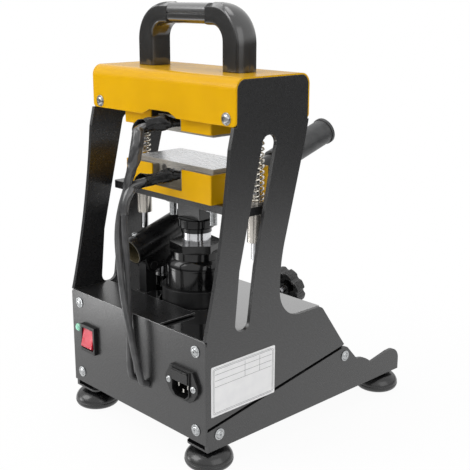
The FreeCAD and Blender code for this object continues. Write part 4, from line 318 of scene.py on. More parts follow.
grip_black = moulded("bar_plastic", paint(48, 48, 48), paint(42, 42, 42), 0.2, 60.0, 0.0, Specular_IOR_Level=1.0,
                     Coat_Weight=1.0, Coat_Roughness=0.12, Coat_IOR=2.1)
small_black = moulded("fitting_plastic", paint(26, 26, 27), paint(19, 19, 20), 0.3)
knob_black = moulded("knob_plastic", paint(30, 30, 31), paint(22, 22, 23), 0.28, 900.0, 0.00004,
                     Specular_IOR_Level=0.8)
grip_rubber = moulded("grip_rubber", paint(68, 69, 70), paint(56, 57, 58), 0.4, 1200.0, 0.00008)
foot_rubber = moulded("foot_rubber", paint(24, 24, 25), paint(17, 17, 18), 0.24, 800.0, 0.00003,
                      Specular_IOR_Level=0.7)
lead_jacket = moulded("lead_jacket", paint(84, 84, 85), paint(66, 66, 67), 0.34, 600.0, 0.00004)
sleeve_cloth = moulded("coated_sleeve", paint(18, 18, 19), paint(11, 11, 12), 0.27, 900.0, 0.00004,
                       Specular_IOR_Level=0.4)
inner_sleeve = moulded("inner_sleeve", paint(84, 84, 85), paint(54, 54, 55), 0.17, 700.0, 0.00006,
                       Specular_IOR_Level=0.8)
insulation = moulded("insulation_board", paint(138, 132, 118), paint(112, 106, 94), 0.4, 500.0, 0.0001,
                     Metallic=0.5)
# The upper insulator is the same board as the lower one, coloured much darker: painted shade under the upper plate.
insulation_in_painted_shade = moulded("insulation_in_painted_shade", paint(44, 38, 30), paint(30, 26, 20), 0.8, 500.0, 0.0002)
rocker_red = moulded("rocker_red", paint(222, 34, 66), paint(204, 24, 54), 0.34, 400.0, 0.00002,
                     Subsurface_Weight=0.25, Subsurface_Radius=(0.004, 0.001, 0.001))
lamp_green = moulded("lamp_green", paint(178, 240, 214), paint(148, 226, 192), 0.12, 400.0, 0.00001,
                     Subsurface_Weight=0.3, Subsurface_Radius=(0.001, 0.003, 0.002))
label_white = moulded("label_film", paint(250, 250, 250), paint(244, 244, 245), 0.45, 900.0, 0.00001)
label_ink = moulded("label_ink", paint(150, 150, 152), paint(138, 138, 140), 0.5)
relay_case = moulded("relay_case", paint(46, 50, 56), paint(38, 42, 48), 0.4)
tool_grey = powder_coat("casting_black", paint(16, 16, 17), paint(22, 22, 23), 0.42)
control_face = moulded("control_face", paint(96, 100, 104), paint(82, 86, 90), 0.24)
control_case = moulded("control_case", paint(40, 41, 43), paint(30, 31, 33), 0.42)
lever_enamel = socket_enamel()

NODE_FINISHES = {
    "left_side_plate": plate_black, "right_side_plate": plate_black, "left_leg": plate_black,
    "right_leg": plate_black, "rear_panel": panel_black, "front_panel": plate_black,
    "bottom_cover": plate_black, "head_beam": plate_black, "jack_shelf": plate_black,
    "moving_plate": plate_black, "deck_plate": deck_black, "head_cover": press_yellow,
    "lower_housing": press_yellow, "upper_housing": press_yellow, "lower_insulator": insulation,
    "upper_insulator": insulation_in_painted_shade, "lower_platen": platen_metal, "upper_platen": platen_metal,
    "lower_heaters": steel, "upper_heaters": steel, "lower_platen_bolts": zinc,
    "upper_platen_bolts": zinc, "guide_bushings": nickel, "guide_rods": chrome, "jack_base": tool_grey,
    "jack_cylinder": steel, "jack_reservoir": jack_black, "filler_plug": small_black,
    "jack_gland_nut": jack_black, "jack_ram": chrome, "ram_saddle": jack_black, "pump_barrel": jack_black,
    "pump_plunger": chrome, "pump_link": tool_grey, "lever_socket": lever_enamel,
    "lever_tube": jack_black,
    "lever_grip": grip_rubber, "switch_bezel": small_black, "switch_rocker": rocker_red,
    "pilot_lamp": lamp_green, "inlet_socket": small_black, "inlet_blades": blade_metal,
    "fuse_drawer": small_black, "cable_grommets": small_black, "frame_bolts": zinc,
    "temperature_controllers": control_case, "controller_faces": control_face,
    "relays_and_terminals": relay_case,
}


def dress(piece, material):
    piece.data.materials.clear()
    piece.data.materials.append(material)
    return piece


for node, material in NODE_FINISHES.items():
    dress(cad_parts[node], material)


# Heater leads: their routes as x, reach behind the jack's axis and height
UPPER_LEAD = [
    (-15.5, 36.8, 329.6), (8.6, 67.6, 328.0), (-1.7, 75.7, 311.0), (12.2, 79.0, 270.0),
    (18.0, 85.5, 243.3), (16.6, 91.5, 217.6), (6.8, 96.6, 188.9), (-1.8, 99.3, 154.4),
    (-11.7, 99.9, 126.0), (-15.6, 97.6, 98.6), (-19.7, 94.6, 76.0), (-21.3, 92.6, 66.5), (-22.6, 76.0, 66.0),
]
LOWER_LEAD = [
    (-15.5, 36.8, 275.5), (9.6, 68.9, 272.5), (9.6, 84.9, 256.0), (9.6, 87.2, 236.0),
    (7.0, 88.2, 208.0), (4.1, 89.4, 182.8), (2.1, 90.5, 151.3), (1.2, 91.2, 120.4),
    (0.0, 92.6, 92.0), (-1.6, 93.2, 77.0), (-2.6, 91.6, 67.0), (-3.9, 76.0, 66.5),
]
LEAD_RADIUS = 0.0034


def lead_curve(name, route, radius):
    curve = bpy.data.curves.new(name, "CURVE")
    curve.dimensions = "3D"
    spline = curve.splines.new("NURBS")
    spline.points.add(len(route) - 1)
    for point, place in zip(spline.points, route):
        point.co = (*behind(*place), 1.0)
    spline.order_u = 3
    spline.use_endpoint_u = True
    curve.resolution_u = 16
    curve.bevel_depth = radius
    curve.bevel_resolution = 6
    curve.use_fill_caps = True
    piece = bpy.data.objects.new(name, curve)
    bpy.context.scene.collection.objects.link(piece)
    return piece


def middle_line(route):
    """Places along the smooth line of a route."""
    bare = lead_curve("bare_line", route, 0.0)
    line = bpy.data.meshes.new_from_object(bare)
    places = [corner.co.copy() for corner in line.vertices]
    bpy.data.objects.remove(bare)
    bpy.data.meshes.remove(line)
    return places


def make_upper_lead():
    lead = dress(lead_curve("upper_heater_lead", UPPER_LEAD, LEAD_RADIUS), lead_jacket)
    line = middle_line(UPPER_LEAD)
    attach(lead, "frame")
    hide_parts("upper_heater_cable")
    return line


def make_lower_lead():
    """The lower lead bends between the lifted plate and the rear panel, so it is a mesh tube."""
    lead = lead_curve("lower_heater_lead", LOWER_LEAD, LEAD_RADIUS)
    line = middle_line(LOWER_LEAD)
    only(lead)
    bpy.ops.object.convert(target="MESH")
    lead = dress(bpy.context.object, lead_jacket)
    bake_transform(lead)
    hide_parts("lower_heater_cable")
    return line


# Work on one piece at a time
def only(piece):
    bpy.ops.object.select_all(action="DESELECT")
    piece.select_set(True)
    bpy.context.view_layer.objects.active = piece
    return piece


def settle(piece, matrix):
    """Puts a place and a turn into the piece's own mesh."""
    only(piece)
    piece.matrix_world = matrix
    bpy.ops.object.transform_apply(location=True, rotation=True, scale=True)
    return piece


def move_ring(piece, before, after):
    """Moves the chosen corners from one ring's places to the next ring's."""
    places = KDTree(len(before))
    for i, place in enumerate(before):
        places.insert(place, i)
    places.balance()
    shape = bmesh.from_edit_mesh(piece.data)
    for corner in shape.verts:
        if corner.select:
            corner.co = after[places.find(corner.co)[1]]
    bmesh.update_edit_mesh(piece.data)


def drawn_out(name, rings, filled=True):
    """A body extruded from ring to ring, closed at both ends where it is filled."""
    bpy.ops.object.select_all(action="DESELECT")
    bpy.ops.mesh.primitive_circle_add(vertices=len(rings[0]), fill_type="NGON" if filled else "NOTHING")
    piece = bpy.context.object
    piece.name = piece.data.name = name
    circle = [corner.co.copy() for corner in piece.data.vertices]
    bpy.ops.object.mode_set(mode="EDIT")
    bpy.ops.mesh.select_all(action="SELECT")
    move_ring(piece, circle, rings[0])
    for before, after in zip(rings, rings[1:]):
        bpy.ops.mesh.extrude_region_move()
        move_ring(piece, before, after)
    bpy.ops.mesh.select_all(action="SELECT")
    bpy.ops.mesh.normals_make_consistent(inside=False)
    bpy.ops.object.mode_set(mode="OBJECT")
    return piece


def turned(name, profile, sides=64):
    """A turned piece on the upright axis, from its radii and heights in millimetres."""
    angles = [2 * math.pi * i / sides for i in range(sides)]
    return drawn_out(name, [[Vector((r * math.cos(a), r * math.sin(a), z)) / 1000 for a in angles]
                            for r, z in profile])


def modified(piece, kind, **settings):
    """Adds a modifier and applies it."""
    only(piece)
    modifier = piece.modifiers.new(kind.lower(), kind)
    for name, value in settings.items():
        setattr(modifier, name, value)
    bpy.ops.object.modifier_apply(modifier=modifier.name)
    return piece


def joined(name, pieces):
    only(pieces[0])
    for piece in pieces[1:]:
        piece.select_set(True)
    bpy.ops.object.join()
    pieces[0].name = pieces[0].data.name = name
    return pieces[0]


def twin(piece, matrix):
    """A copy with a mesh of its own, at another place."""
    copy = bpy.data.objects.new(piece.name + "_twin", piece.data.copy())
    bpy.context.scene.collection.objects.link(copy)
    return settle(copy, matrix)


def complete(piece, material, body, slot, *stands_for, smooth=38.0):
    only(piece)
    bpy.ops.object.shade_smooth_by_angle(angle=math.radians(smooth))
    dress(piece, material)
    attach(piece, body)
    if stands_for:
        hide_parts(*stands_for)
    return piece


def at(x, y, z, turn=None):
    """A place in millimetres, with a turn about a named axis in degrees."""
    place = Matrix.Translation(Vector((x, y, z)) / 1000)
    return place if turn is None else place @ Matrix.Rotation(math.radians(turn[0]), 4, turn[1])


# Rubber feet: a domed pad on a rounded rim, with a short neck under the leg
def arc(centre, radius, start, end, steps):
    """Places along an arc of a profile, its angles in degrees from straight outwards to straight up."""
    turns = [math.radians(start + (end - start) * i / steps) for i in range(steps + 1)]
    return [(centre[0] + radius * math.cos(a), centre[1] + radius * math.sin(a)) for a in turns]


FOOT_PROFILE = (
    [(0.5, 0.8), (14.6, 0.8), (15.2, 0.05), (17.0, 0.0)] + arc((18.23, 6.42), 6.42, -80, -2, 9)
    + [(24.5, 6.9), (24.1, 7.15)] + arc((12.5, 6.3), 12.15, 9, 88, 12)
    + [(12.2, 18.5), (11.4, 18.8), (11.0, 19.4), (11.0, 21.6), (10.6, 22.0), (0.5, 22.0)]
)
FOOT_PLACES = [(x, y) for x in (-95.1, 95.1) for y in (159.77, -108.63)]


def make_feet():
    foot = turned("foot", FOOT_PROFILE, 72)
    feet = [foot] + [twin(foot, at(x, y, 0)) for x, y in FOOT_PLACES[1:]]
    settle(foot, at(*FOOT_PLACES[0], 0))
    complete(joined("rubber_feet_turned", feet), foot_rubber, "frame", "foot_rubber", "rubber_feet")


# Cross-recess screws of the case, with a flange under the head, and the inlet's small ones
SCREW_SHANK = [(0.3, -9.0), (1.2, -9.0), (2.0, -8.2), (2.0, 0.0)]
WIDE_HEAD = SCREW_SHANK + [
    (5.7, 0.0), (6.0, 0.25), (6.0, 0.75), (5.8, 1.0), (5.2, 1.12), (4.75, 1.1), (4.55, 0.95), (4.4, 0.95),
    (4.3, 1.15), (4.1, 1.75), (3.6, 2.2), (2.8, 2.48), (1.6, 2.6), (0.3, 2.6),
]
SMALL_HEAD = SCREW_SHANK + [
    (3.4, 0.0), (3.6, 0.2), (3.55, 0.8), (3.3, 1.3), (2.75, 1.75), (1.8, 2.08), (0.9, 2.2), (0.3, 2.2),
]
WIDE_PLACES = (
    [((x, 177.77, z), (-90, "X")) for x in (-96.6, 96.6) for z in (42.6, 124.3)]
    + [((x, 139.47, 341.8), (-90, "X")) for x in (-98.3, 98.3)]
    + [((x, 41.17, 341.8), (90, "X")) for x in (-98.3, 98.3)]
    + [((side * 111, y, z), (side * 90, "Y")) for side in (-1, 1) for y, z in ((160.47, 37.7), (-28.03, 66.0))]
)
SMALL_PLACES = [((x, 180.97, 86.0), (-90, "X")) for x in (-96.8, -60.4)]


def cross_bit(wide, deep):
    """The driver's tip that leaves the cross in a screw's head."""
    bars = []
    for turn in (0, 90):
        bpy.ops.object.select_all(action="DESELECT")
        bpy.ops.mesh.primitive_cube_add(size=0.001)
        bar = bpy.context.object
        bpy.ops.object.mode_set(mode="EDIT")
        bpy.ops.mesh.select_all(action="SELECT")
        bpy.ops.transform.resize(value=(wide, wide * 0.2, 3.0))
        shape = bmesh.from_edit_mesh(bar.data)
        for corner in shape.verts:
            if corner.co.z < 0:
                corner.co.x *= 0.35
                corner.co.y *= 0.6
        bmesh.update_edit_mesh(bar.data)
        bpy.ops.object.mode_set(mode="OBJECT")
        bars.append(settle(bar, at(0, 0, deep, (turn + 45, "Z"))))
    bit = modified(bars[0], "BOOLEAN", operation="UNION", object=bars[1], solver="EXACT")
    bpy.data.objects.remove(bars[1])
    return bit


def make_screws():
    screws = []
    for profile, wide, deep, places in ((WIDE_HEAD, 4.6, 2.7, WIDE_PLACES), (SMALL_HEAD, 3.4, 2.4, SMALL_PLACES)):
        screw, bit = turned("screw", profile, 40), cross_bit(wide, deep)
        modified(screw, "BOOLEAN", operation="DIFFERENCE", object=bit, solver="EXACT")
        bpy.data.objects.remove(bit)
        screws += [twin(screw, at(*place, turn)) for place, turn in places]
        bpy.data.objects.remove(screw)
    complete(joined("case_screws_cross", screws), zinc, "frame", "screw_chrome", "case_screws")


# Return springs: closed at both ends
SPRING_TURNS, SPRING_FLOOR, SPRING_TOP = 18, 256.6, 351.5
GUIDE_X, COIL_RADIUS, WIRE_RADIUS = 88.6, 7.6, 1.0
SPRING_STEPS, CLOSED_TURNS = 24, 1.0


def make_springs():
    free = SPRING_TOP - SPRING_FLOOR - 2 * WIRE_RADIUS
    pitch = free / SPRING_TURNS
    bpy.ops.object.select_all(action="DESELECT")
    bpy.ops.mesh.primitive_circle_add(vertices=8, radius=WIRE_RADIUS / 1000,
                                      location=(COIL_RADIUS / 1000, 0, 0), rotation=(math.pi / 2, 0, 0))
    spring = bpy.context.object
    bpy.ops.object.transform_apply(location=True, rotation=True, scale=True)
    modified(spring, "SCREW", angle=2 * math.pi, iterations=SPRING_TURNS, screw_offset=pitch / 1000,
             steps=SPRING_STEPS, render_steps=SPRING_STEPS, use_merge_vertices=False)
    spread = (free - 4 * CLOSED_TURNS * WIRE_RADIUS) / (SPRING_TURNS - 2 * CLOSED_TURNS)
    for corner in spring.data.vertices:
        share = math.atan2(corner.co.y, corner.co.x) / (2 * math.pi)
        height = corner.co.z * 1000
        turns = round(height / pitch - share) + share
        turns = min(max(turns, 0.0), SPRING_TURNS)
        lifted = (min(turns, CLOSED_TURNS) * 2 * WIRE_RADIUS
                  + max(0.0, min(turns, SPRING_TURNS - CLOSED_TURNS) - CLOSED_TURNS) * spread
                  + max(0.0, turns - SPRING_TURNS + CLOSED_TURNS) * 2 * WIRE_RADIUS)
        corner.co.z = (height - turns * pitch + lifted + SPRING_FLOOR + WIRE_RADIUS) / 1000
    only(spring)
    bpy.ops.object.mode_set(mode="EDIT")
    bpy.ops.mesh.select_all(action="DESELECT")
    bpy.ops.mesh.select_non_manifold()
    bpy.ops.mesh.edge_face_add()
    bpy.ops.mesh.select_all(action="SELECT")
    bpy.ops.mesh.normals_make_consistent(inside=False)
    bpy.ops.object.mode_set(mode="OBJECT")
    pair = [spring, twin(spring, at(GUIDE_X, PRESS_AXIS, 0))]
    settle(spring, at(-GUIDE_X, PRESS_AXIS, 0))
    pair = joined("return_springs_wound", pair)
    complete(pair, spring_wire, "carriage", "spring_nickel", "return_springs")
    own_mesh(pair)


# Wide sleeves where the leads leave the housings: narrow at the wall, folded, with a wide open mouth.
# Each station: run from the wall, rise of its middle, half of its height, half of its width
SLEEVE_AXIS = Vector((0.6157, 0.788, 0.0))
SLEEVE_SIDE = Vector((-0.788, 0.6157, 0.0))
SLEEVE_STEPS, SLEEVE_SIDES, SLEEVE_ROOT = 48, 72, (-13.0, 39.6)
UPPER_SLEEVE = [
    (-6, -2.4, 4.0, 4.0), (0, -2.3, 4.4, 4.6), (4, -2.2, 5.6, 5.4), (9, -2.2, 7.5, 5.8), (14, -2.5, 7.7, 5.8),
    (19, -3.0, 7.3, 6.0), (24, -3.8, 7.1, 6.3), (29, -4.9, 7.3, 6.6), (32, -5.8, 7.7, 6.9), (34.5, -6.6, 8.0, 7.2),
]
LOWER_SLEEVE = [
    (-6, 1.0, 4.2, 4.2), (0, 0.6, 5.4, 4.6), (6, 0.4, 7.4, 5.2), (12, -0.9, 7.0, 5.4), (18, -2.3, 6.1, 5.6),
    (24, -3.6, 5.6, 5.8), (29, -4.2, 6.4, 6.2), (32, -4.6, 7.2, 6.6), (34.5, -5.0, 7.7, 6.9),
]


# Inner sleeves: run along the lead in millimetres, and radius there
UPPER_INNER = [(30, 4.0), (36, 4.4), (44, 6.0), (72, 6.1), (80, 4.8), (90, 4.4), (101, 4.25), (102.5, 4.1)]
LOWER_INNER = [(30, 4.0), (36, 4.2), (43, 4.7), (54, 4.5), (64, 4.1), (76, 3.95), (77, 4.25), (78.5, 4.2)]
INNER_SIDES = 48


def crumpled(angle, run, seed, depth):
    """How far a sleeve's skin moves in or out at a place: long folds across it and sharp small dents."""
    place = Vector((math.cos(angle), math.sin(angle), 0))
    fold = noise.noise(place * 1.5 + Vector((seed, 0, run * 90)))
    crease = noise.turbulence(place * 1.3 + Vector((0, seed, run * 70)), 2, True)
    return depth * (0.9 * fold - 0.9 * (crease - 0.55))


def station_at(stations, run):
    for before, after in zip(stations, stations[1:]):
        if run <= after[0]:
            share = max(0.0, (run - before[0]) / (after[0] - before[0]))
            share = share * share * (3 - 2 * share)
            return [a + (b - a) * share for a, b in zip(before[1:], after[1:])]
    return list(stations[-1][1:])


def make_sleeve(name, stations, height, body, seed, stands_for):
    rings, last = [], stations[-1][0]
    for step in range(SLEEVE_STEPS + 1):
        run = stations[0][0] + (last - stations[0][0]) * step / SLEEVE_STEPS
        rise, tall, wide = station_at(stations, run)
        slant = 0.9 * max(0.0, (run - 17) / (last - 17)) ** 1.4
        droop = 0.35 * max(0.0, (run - 20) / (last - 20)) ** 1.5
        centre = behind(*SLEEVE_ROOT, height + rise) + SLEEVE_AXIS * run / 1000
        lip = 0.35 * max(0.0, (run - last + 1.5) / 1.5)
        ring = []
        for i in range(SLEEVE_SIDES):
            angle = 2 * math.pi * i / SLEEVE_SIDES
            across, up = wide * math.cos(angle), tall * math.sin(angle)
            fold = crumpled(angle, run / 1000, seed, 0.85 if run > 2 else 0.3)
            grow = 1 + (fold + lip) / tall
            along = -across * slant - up * droop
            ring.append(centre + (grow * (across * SLEEVE_SIDE + up * Vector((0, 0, 1)))
                                  + along * SLEEVE_AXIS) / 1000)
        rings.append(ring)
    sleeve = drawn_out(name, rings, filled=False)
    modified(sleeve, "SOLIDIFY", thickness=0.0006, offset=-1.0)
    return complete(sleeve, sleeve_cloth, body, "lead_sleeve", stands_for, smooth=50.0)


def make_inner_sleeve(name, line, sizes, seed, bends=False):
    """The thin crumpled sleeve that the lead wears below its wide one: radii by the run along the lead."""
    near, far = sizes[0][0], sizes[-1][0]
    rings, walked = [], 0.0
    for before, here in zip(line, line[1:]):
        walked += (here - before).length * 1000
        if walked < near or (here - before).length < 1e-6:
            continue
        if walked > far:
            break
        ahead = (here - before).normalized()
        side = ahead.cross(Vector((0.3, 1, 0.1))).normalized()
        top = ahead.cross(side)
        base = station_at([(run, radius) for run, radius in sizes], walked)[0]
        loose = min(1.0, max(0.15, (base - 3.7) / 1.6))
        ring = []
        for i in range(INNER_SIDES):
            angle = 2 * math.pi * i / INNER_SIDES
            radius = max(base + crumpled(angle, walked / 1000, seed, 1.1 * loose), LEAD_RADIUS * 1000 + 0.15)
            ring.append(here + radius / 1000 * (math.cos(angle) * side + math.sin(angle) * top))
        rings.append(ring)
    sleeve = drawn_out(name, rings)
    only(sleeve)
    bpy.ops.object.shade_smooth_by_angle(angle=math.radians(50))
    dress(sleeve, inner_sleeve)
    if bends:
        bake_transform(sleeve)
    else:
        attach(sleeve, "frame")
    return sleeve


# Release knob: eight ribbed lobes round a hollow back with a hub, and its turned spindle
KNOB_BACK = Vector((0.0, -45.33, 112.7))
KNOB_FORWARD = Vector((0.0, -0.9613, 0.2756))
KNOB_UP = Vector((0.0, 0.2756, 0.9613))
KNOB_RADIUS, VALLEY_PITCH, VALLEY_RADIUS, VALLEY_TURN = 24.0, 25.6, 4.6, 96.0


def lobed(angle):
    """The lobed outline's radius at an angle in degrees, its corners eased."""
    total = 0.0
    for ease in (-2.0, -1.0, 0.0, 1.0, 2.0):
        off = math.radians((angle + ease - VALLEY_TURN + 22.5) % 45.0 - 22.5)
        inside = VALLEY_RADIUS ** 2 - (VALLEY_PITCH * math.sin(off)) ** 2
        valley = VALLEY_PITCH * math.cos(off) - math.sqrt(inside) if inside > 0 else KNOB_RADIUS
        total += min(KNOB_RADIUS, valley)
    return total / 5


def ribbed(angle):
    """Fine grooves across each lobe."""
    off = abs((angle - VALLEY_TURN) % 45.0 - 22.5)
    return 0.5 * max(0.0, -math.cos(2 * math.pi * off / 3.8) + 0.15) if off < 13.5 else 0.0


def make_knob():
    angles = [0.5 * i for i in range(720)]

    def ring(run, outline=None, radius=0.0, ribs=0.0):
        """A ring of the knob: its lobed outline less an amount, or a plain circle."""
        places = []
        for angle in angles:
            r = radius if outline is None else lobed(angle) - outline - ribs * ribbed(angle)
            a = math.radians(angle)
            places.append((KNOB_BACK + KNOB_FORWARD * run
                           + r * (math.cos(a) * Vector((1, 0, 0)) + math.sin(a) * KNOB_UP)) / 1000)
        return places

    knob = drawn_out("release_knob_lobed", [
        ring(12.3, radius=0.6), ring(12.3, radius=12.0), ring(12.95, radius=13.5), ring(13.0, 2.0),
        ring(12.8, 0.7), ring(12.3, 0.15), ring(11.8, 0.0, ribs=0.6), ring(11.2, 0.0, ribs=1.0),
        ring(1.6, 0.0, ribs=1.0), ring(0.9, 0.0, ribs=0.8), ring(0.4, 0.2), ring(0.0, 0.7), ring(0.0, 2.4),
        ring(0.4, 2.9), ring(9.0, 3.3), ring(9.8, 4.0), ring(10.0, 5.0), ring(10.0, radius=8.2),
        ring(9.4, radius=7.3), ring(1.2, radius=7.0), ring(0.4, radius=6.8), ring(0.0, radius=6.3),
        ring(0.0, radius=4.7), ring(0.6, radius=4.2)])
    complete(knob, knob_black, "knob", "knob_plastic", "release_knob", smooth=32.0)
    spindle = turned("release_spindle", [
        (0.5, -104.0), (3.4, -104.0), (4.0, -103.2), (4.0, -88.0), (3.7, -87.6), (3.7, -86.4), (4.0, -86.0),
        (4.0, -8.0), (3.8, -7.6), (3.8, -6.8), (4.0, -6.4), (4.0, 1.4), (3.6, 1.8), (0.5, 1.8)], 48)
    turn = Matrix((Vector((1, 0, 0)), KNOB_UP, KNOB_FORWARD)).transposed().to_4x4()
    settle(spindle, Matrix.Translation(KNOB_BACK / 1000) @ turn)
    complete(spindle, steel, "knob", "knob_plastic", "release_knob")


# Rating plate: a blank film with rounded corners, ruled with a double border and a grid
PLATE_SHEET, PLATE_FACE = -111.0, -111.45
PLATE_ROWS, PLATE_COLUMNS, INK_WIDTH = (101.2, 94.8, 88.6), (126.4, 106.0), 0.4


def film(name, near, far, face, thick, corner=0.0, line=0.0):
    """A thin sheet between two places given as y and z, or only a line along its edge."""
    bpy.ops.object.select_all(action="DESELECT")
    bpy.ops.mesh.primitive_plane_add(size=1, rotation=(0, -math.pi / 2, 0))
    piece = bpy.context.object
    piece.name = piece.data.name = name
    bpy.ops.object.transform_apply(location=True, rotation=True, scale=True)
    for spot in piece.data.vertices:
        spot.co = Vector((face, far[0] if spot.co.y > 0 else near[0], far[1] if spot.co.z > 0 else near[1])) / 1000
    bpy.ops.object.mode_set(mode="EDIT")
    bpy.ops.mesh.select_all(action="SELECT")
    if corner:
        bpy.ops.mesh.bevel(offset=corner / 1000, segments=6, affect="VERTICES")
        bpy.ops.mesh.select_all(action="SELECT")
    if line:
        bpy.ops.mesh.inset(thickness=line / 1000)
        bpy.ops.mesh.delete(type="FACE")
    bpy.ops.object.mode_set(mode="OBJECT")
    modified(piece, "SOLIDIFY", thickness=thick / 1000, offset=-1.0)
    return piece


def make_rating_plate():
    low, high = (Vector(corner) * 1000 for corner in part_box("rating_plate"))
    plate = film("rating_plate_film", (low.y, low.z), (high.y, high.z), PLATE_FACE,
                 PLATE_SHEET - PLATE_FACE, 1.6)
    complete(plate, label_white, "frame", "label_white", "rating_plate")
    ink = PLATE_FACE - 0.04
    lines = [film("border", (low.y + inset, low.z + inset), (high.y - inset, high.z - inset), ink, 0.06, corner,
                  INK_WIDTH) for inset, corner in ((2.2, 3.0), (3.5, 2.2))]
    start, end, top = low.y + 5.0, high.y - 5.0, high.z - 5.0
    half = INK_WIDTH / 2
    lines += [film("row", (start, z - half), (end, z + half), ink, 0.06) for z in PLATE_ROWS]
    lines += [film("column", (y - half, PLATE_ROWS[-1]), (y + half, top), ink - 0.004, 0.06) for y in PLATE_COLUMNS]
    complete(joined("rating_plate_lines", lines), label_ink, "frame", "label_white")


# Cap screw on the lever's socket
def make_cap_screw():
    screw = turned("socket_cap_screw", [
        (0.4, -3.0), (1.7, -3.0), (1.8, -2.8), (1.8, 0.0), (2.7, 0.0), (2.9, 0.2), (2.9, 2.4), (2.6, 2.8),
        (1.9, 2.9), (0.4, 2.9)], 40)
    key = turned("key", [(1.35, 1.2), (1.35, 3.6)], 6)
    modified(screw, "BOOLEAN", operation="DIFFERENCE", object=key, solver="EXACT")
    bpy.data.objects.remove(key)
    settle(screw, at(LEVER_X, 129.2, 199.0, (-math.degrees(LEVER_TILT), "X")))
    complete(screw, zinc, "lever", "screw_chrome")


# Carrying handle: two elbows with crowned outer strips, and a grip with a groove
HANDLE_OUT, HANDLE_IN, HANDLE_TOP, HANDLE_UNDER, HANDLE_FOOT = 78.5, 52.9, 444.6, 422.9, 379.5
OUTER_BEND, INNER_BEND = 39.0, 15.0
HALF_DEPTH = 13.5
ELBOW_END, GRIP_STATIONS = 29.1, (-29.6, -10.0, 10.0, 29.6)


def elbow_section(thickness, strip):
    """Half of an elbow's section: how far from the inner face and how far from its middle plane.

    The strip is 1 where the crowned outer strip fills the outer face, and 0 where it has run out."""
    half = [(0.25, 0.0), (0.0, 4.0), (0.05, 8.0), (0.35, 10.4), (1.2, 12.2), (2.6, 13.2), (4.4, 13.5),
            (thickness * 0.4, 13.5), (thickness - 8.0, 13.5), (thickness - 5.4, 13.48)]
    edge = 13.15 * strip
    lip = 4.3 * strip ** 2
    groove = 0.75 * min(1.0, strip * 3)
    for share in (0.0, 0.5, 1.0):
        angle = share * math.pi / 2
        u = thickness - 4.4 + (4.4 - lip) * math.sin(angle) * (1.0 if strip < 1 else 0.0)
        v = 13.45 - (13.45 - min(13.3, edge + 0.9)) * (1 - math.cos(angle))
        half.append((u, v))
    half += [(thickness - lip - groove, edge + 0.42), (thickness - lip - groove, edge + 0.1),
             (thickness - lip + 0.25 * strip, edge - 0.1)]
    for share in (0.94, 0.86, 0.76, 0.64, 0.5, 0.34, 0.17, 0.0):
        crown = (1 - share ** 2.3) ** 0.6
        half.append((thickness - lip * (1 - crown), edge * share))
    return half


def make_elbow():
    rings = []
    stops = [("leg", z) for z in (HANDLE_FOOT, 380.3, 388.0, 397.0, 404.0)]
    stops += [("bend", a) for a in range(0, 91, 5)] + [("bar", x) for x in (35.0, 31.2, 29.9, ELBOW_END)]
    for kind, value in stops:
        if kind == "leg":
            outer, inner = Vector((HANDLE_OUT, 0, value)), Vector((HANDLE_IN, 0, value))
        elif kind == "bend":
            a = math.radians(value)
            out = Vector((math.cos(a), 0, math.sin(a)))
            outer = Vector((HANDLE_OUT - OUTER_BEND, 0, HANDLE_TOP - OUTER_BEND)) + OUTER_BEND * out
            inner = Vector((HANDLE_IN - INNER_BEND, 0, HANDLE_UNDER - INNER_BEND)) + INNER_BEND * out
        else:
            outer, inner = Vector((value, 0, HANDLE_TOP)), Vector((value, 0, HANDLE_UNDER))
        bend = value if kind == "bend" else (0 if kind == "leg" else 90)
        strip = math.sqrt(max(0.0, 1 - (max(0.0, bend - 42) / 40) ** 2))
        thickness = (outer - inner).length
        across = (outer - inner) / thickness
        half = elbow_section(thickness, strip)
        pull = 0.5 if value in (HANDLE_FOOT, ELBOW_END) else 0.0
        ring = []
        for u, v in half + [(u, -v) for u, v in reversed(half[1:-1])]:
            u = min(max(u, pull), thickness - pull)
            v = math.copysign(min(abs(v), HALF_DEPTH - pull), v)
            ring.append((inner + across * u + Vector((0, v + PRESS_AXIS, 0))) / 1000)
        rings.append(ring)
    return drawn_out("elbow", rings)


def grip_section():
    """The grip's section round its middle line: depth and height, with a groove in each flat face."""
    half_depth, half_height, corner = 12.7, 10.05, 6.5
    points = []
    for start in (0, 90, 180, 270):
        centre_y = (half_depth - corner) * (1 if start in (0, 270) else -1)
        centre_z = (half_height - corner) * (1 if start in (0, 90) else -1)
        for step in range(7):
            angle = math.radians(start + 15 * step)
            points.append((centre_y + corner * math.cos(angle), centre_z + corner * math.sin(angle)))
        if start in (90, 270):
            face = -half_depth if start == 90 else half_depth
            side = 1 if start == 90 else -1
            deep = face - math.copysign(0.9, face)
            points += [(face, side * 0.9), (deep, side * 0.5), (deep, -side * 0.5), (face, -side * 0.9)]
    return points


def make_handle():
    elbow = make_elbow()
    other = twin(elbow, Matrix.Scale(-1, 4, (1, 0, 0)))
    only(other)
    bpy.ops.object.mode_set(mode="EDIT")
    bpy.ops.mesh.select_all(action="SELECT")
    bpy.ops.mesh.normals_make_consistent(inside=False)
    bpy.ops.object.mode_set(mode="OBJECT")
    elbow.name, other.name = "handle_elbow_right", "handle_elbow_left"
    complete(elbow, handle_black, "frame", "handle_plastic", "handle_right_elbow", smooth=30.0)
    complete(other, handle_black, "frame", "handle_plastic", "handle_left_elbow", smooth=30.0)
    middle = (HANDLE_TOP + HANDLE_UNDER) / 2
    rings = [[Vector((x, PRESS_AXIS + y, middle + z)) / 1000 for y, z in grip_section()]
             for x in GRIP_STATIONS]
    grip = drawn_out("handle_grip", rings)
    complete(grip, grip_black, "frame", "handle_plastic", "handle_bar", smooth=30.0)


# Stage: pale floor, soft light
SHADOW_FLOOR, MIRROR_FLOOR = (0.15, 0.45), (0.8, 1.3)


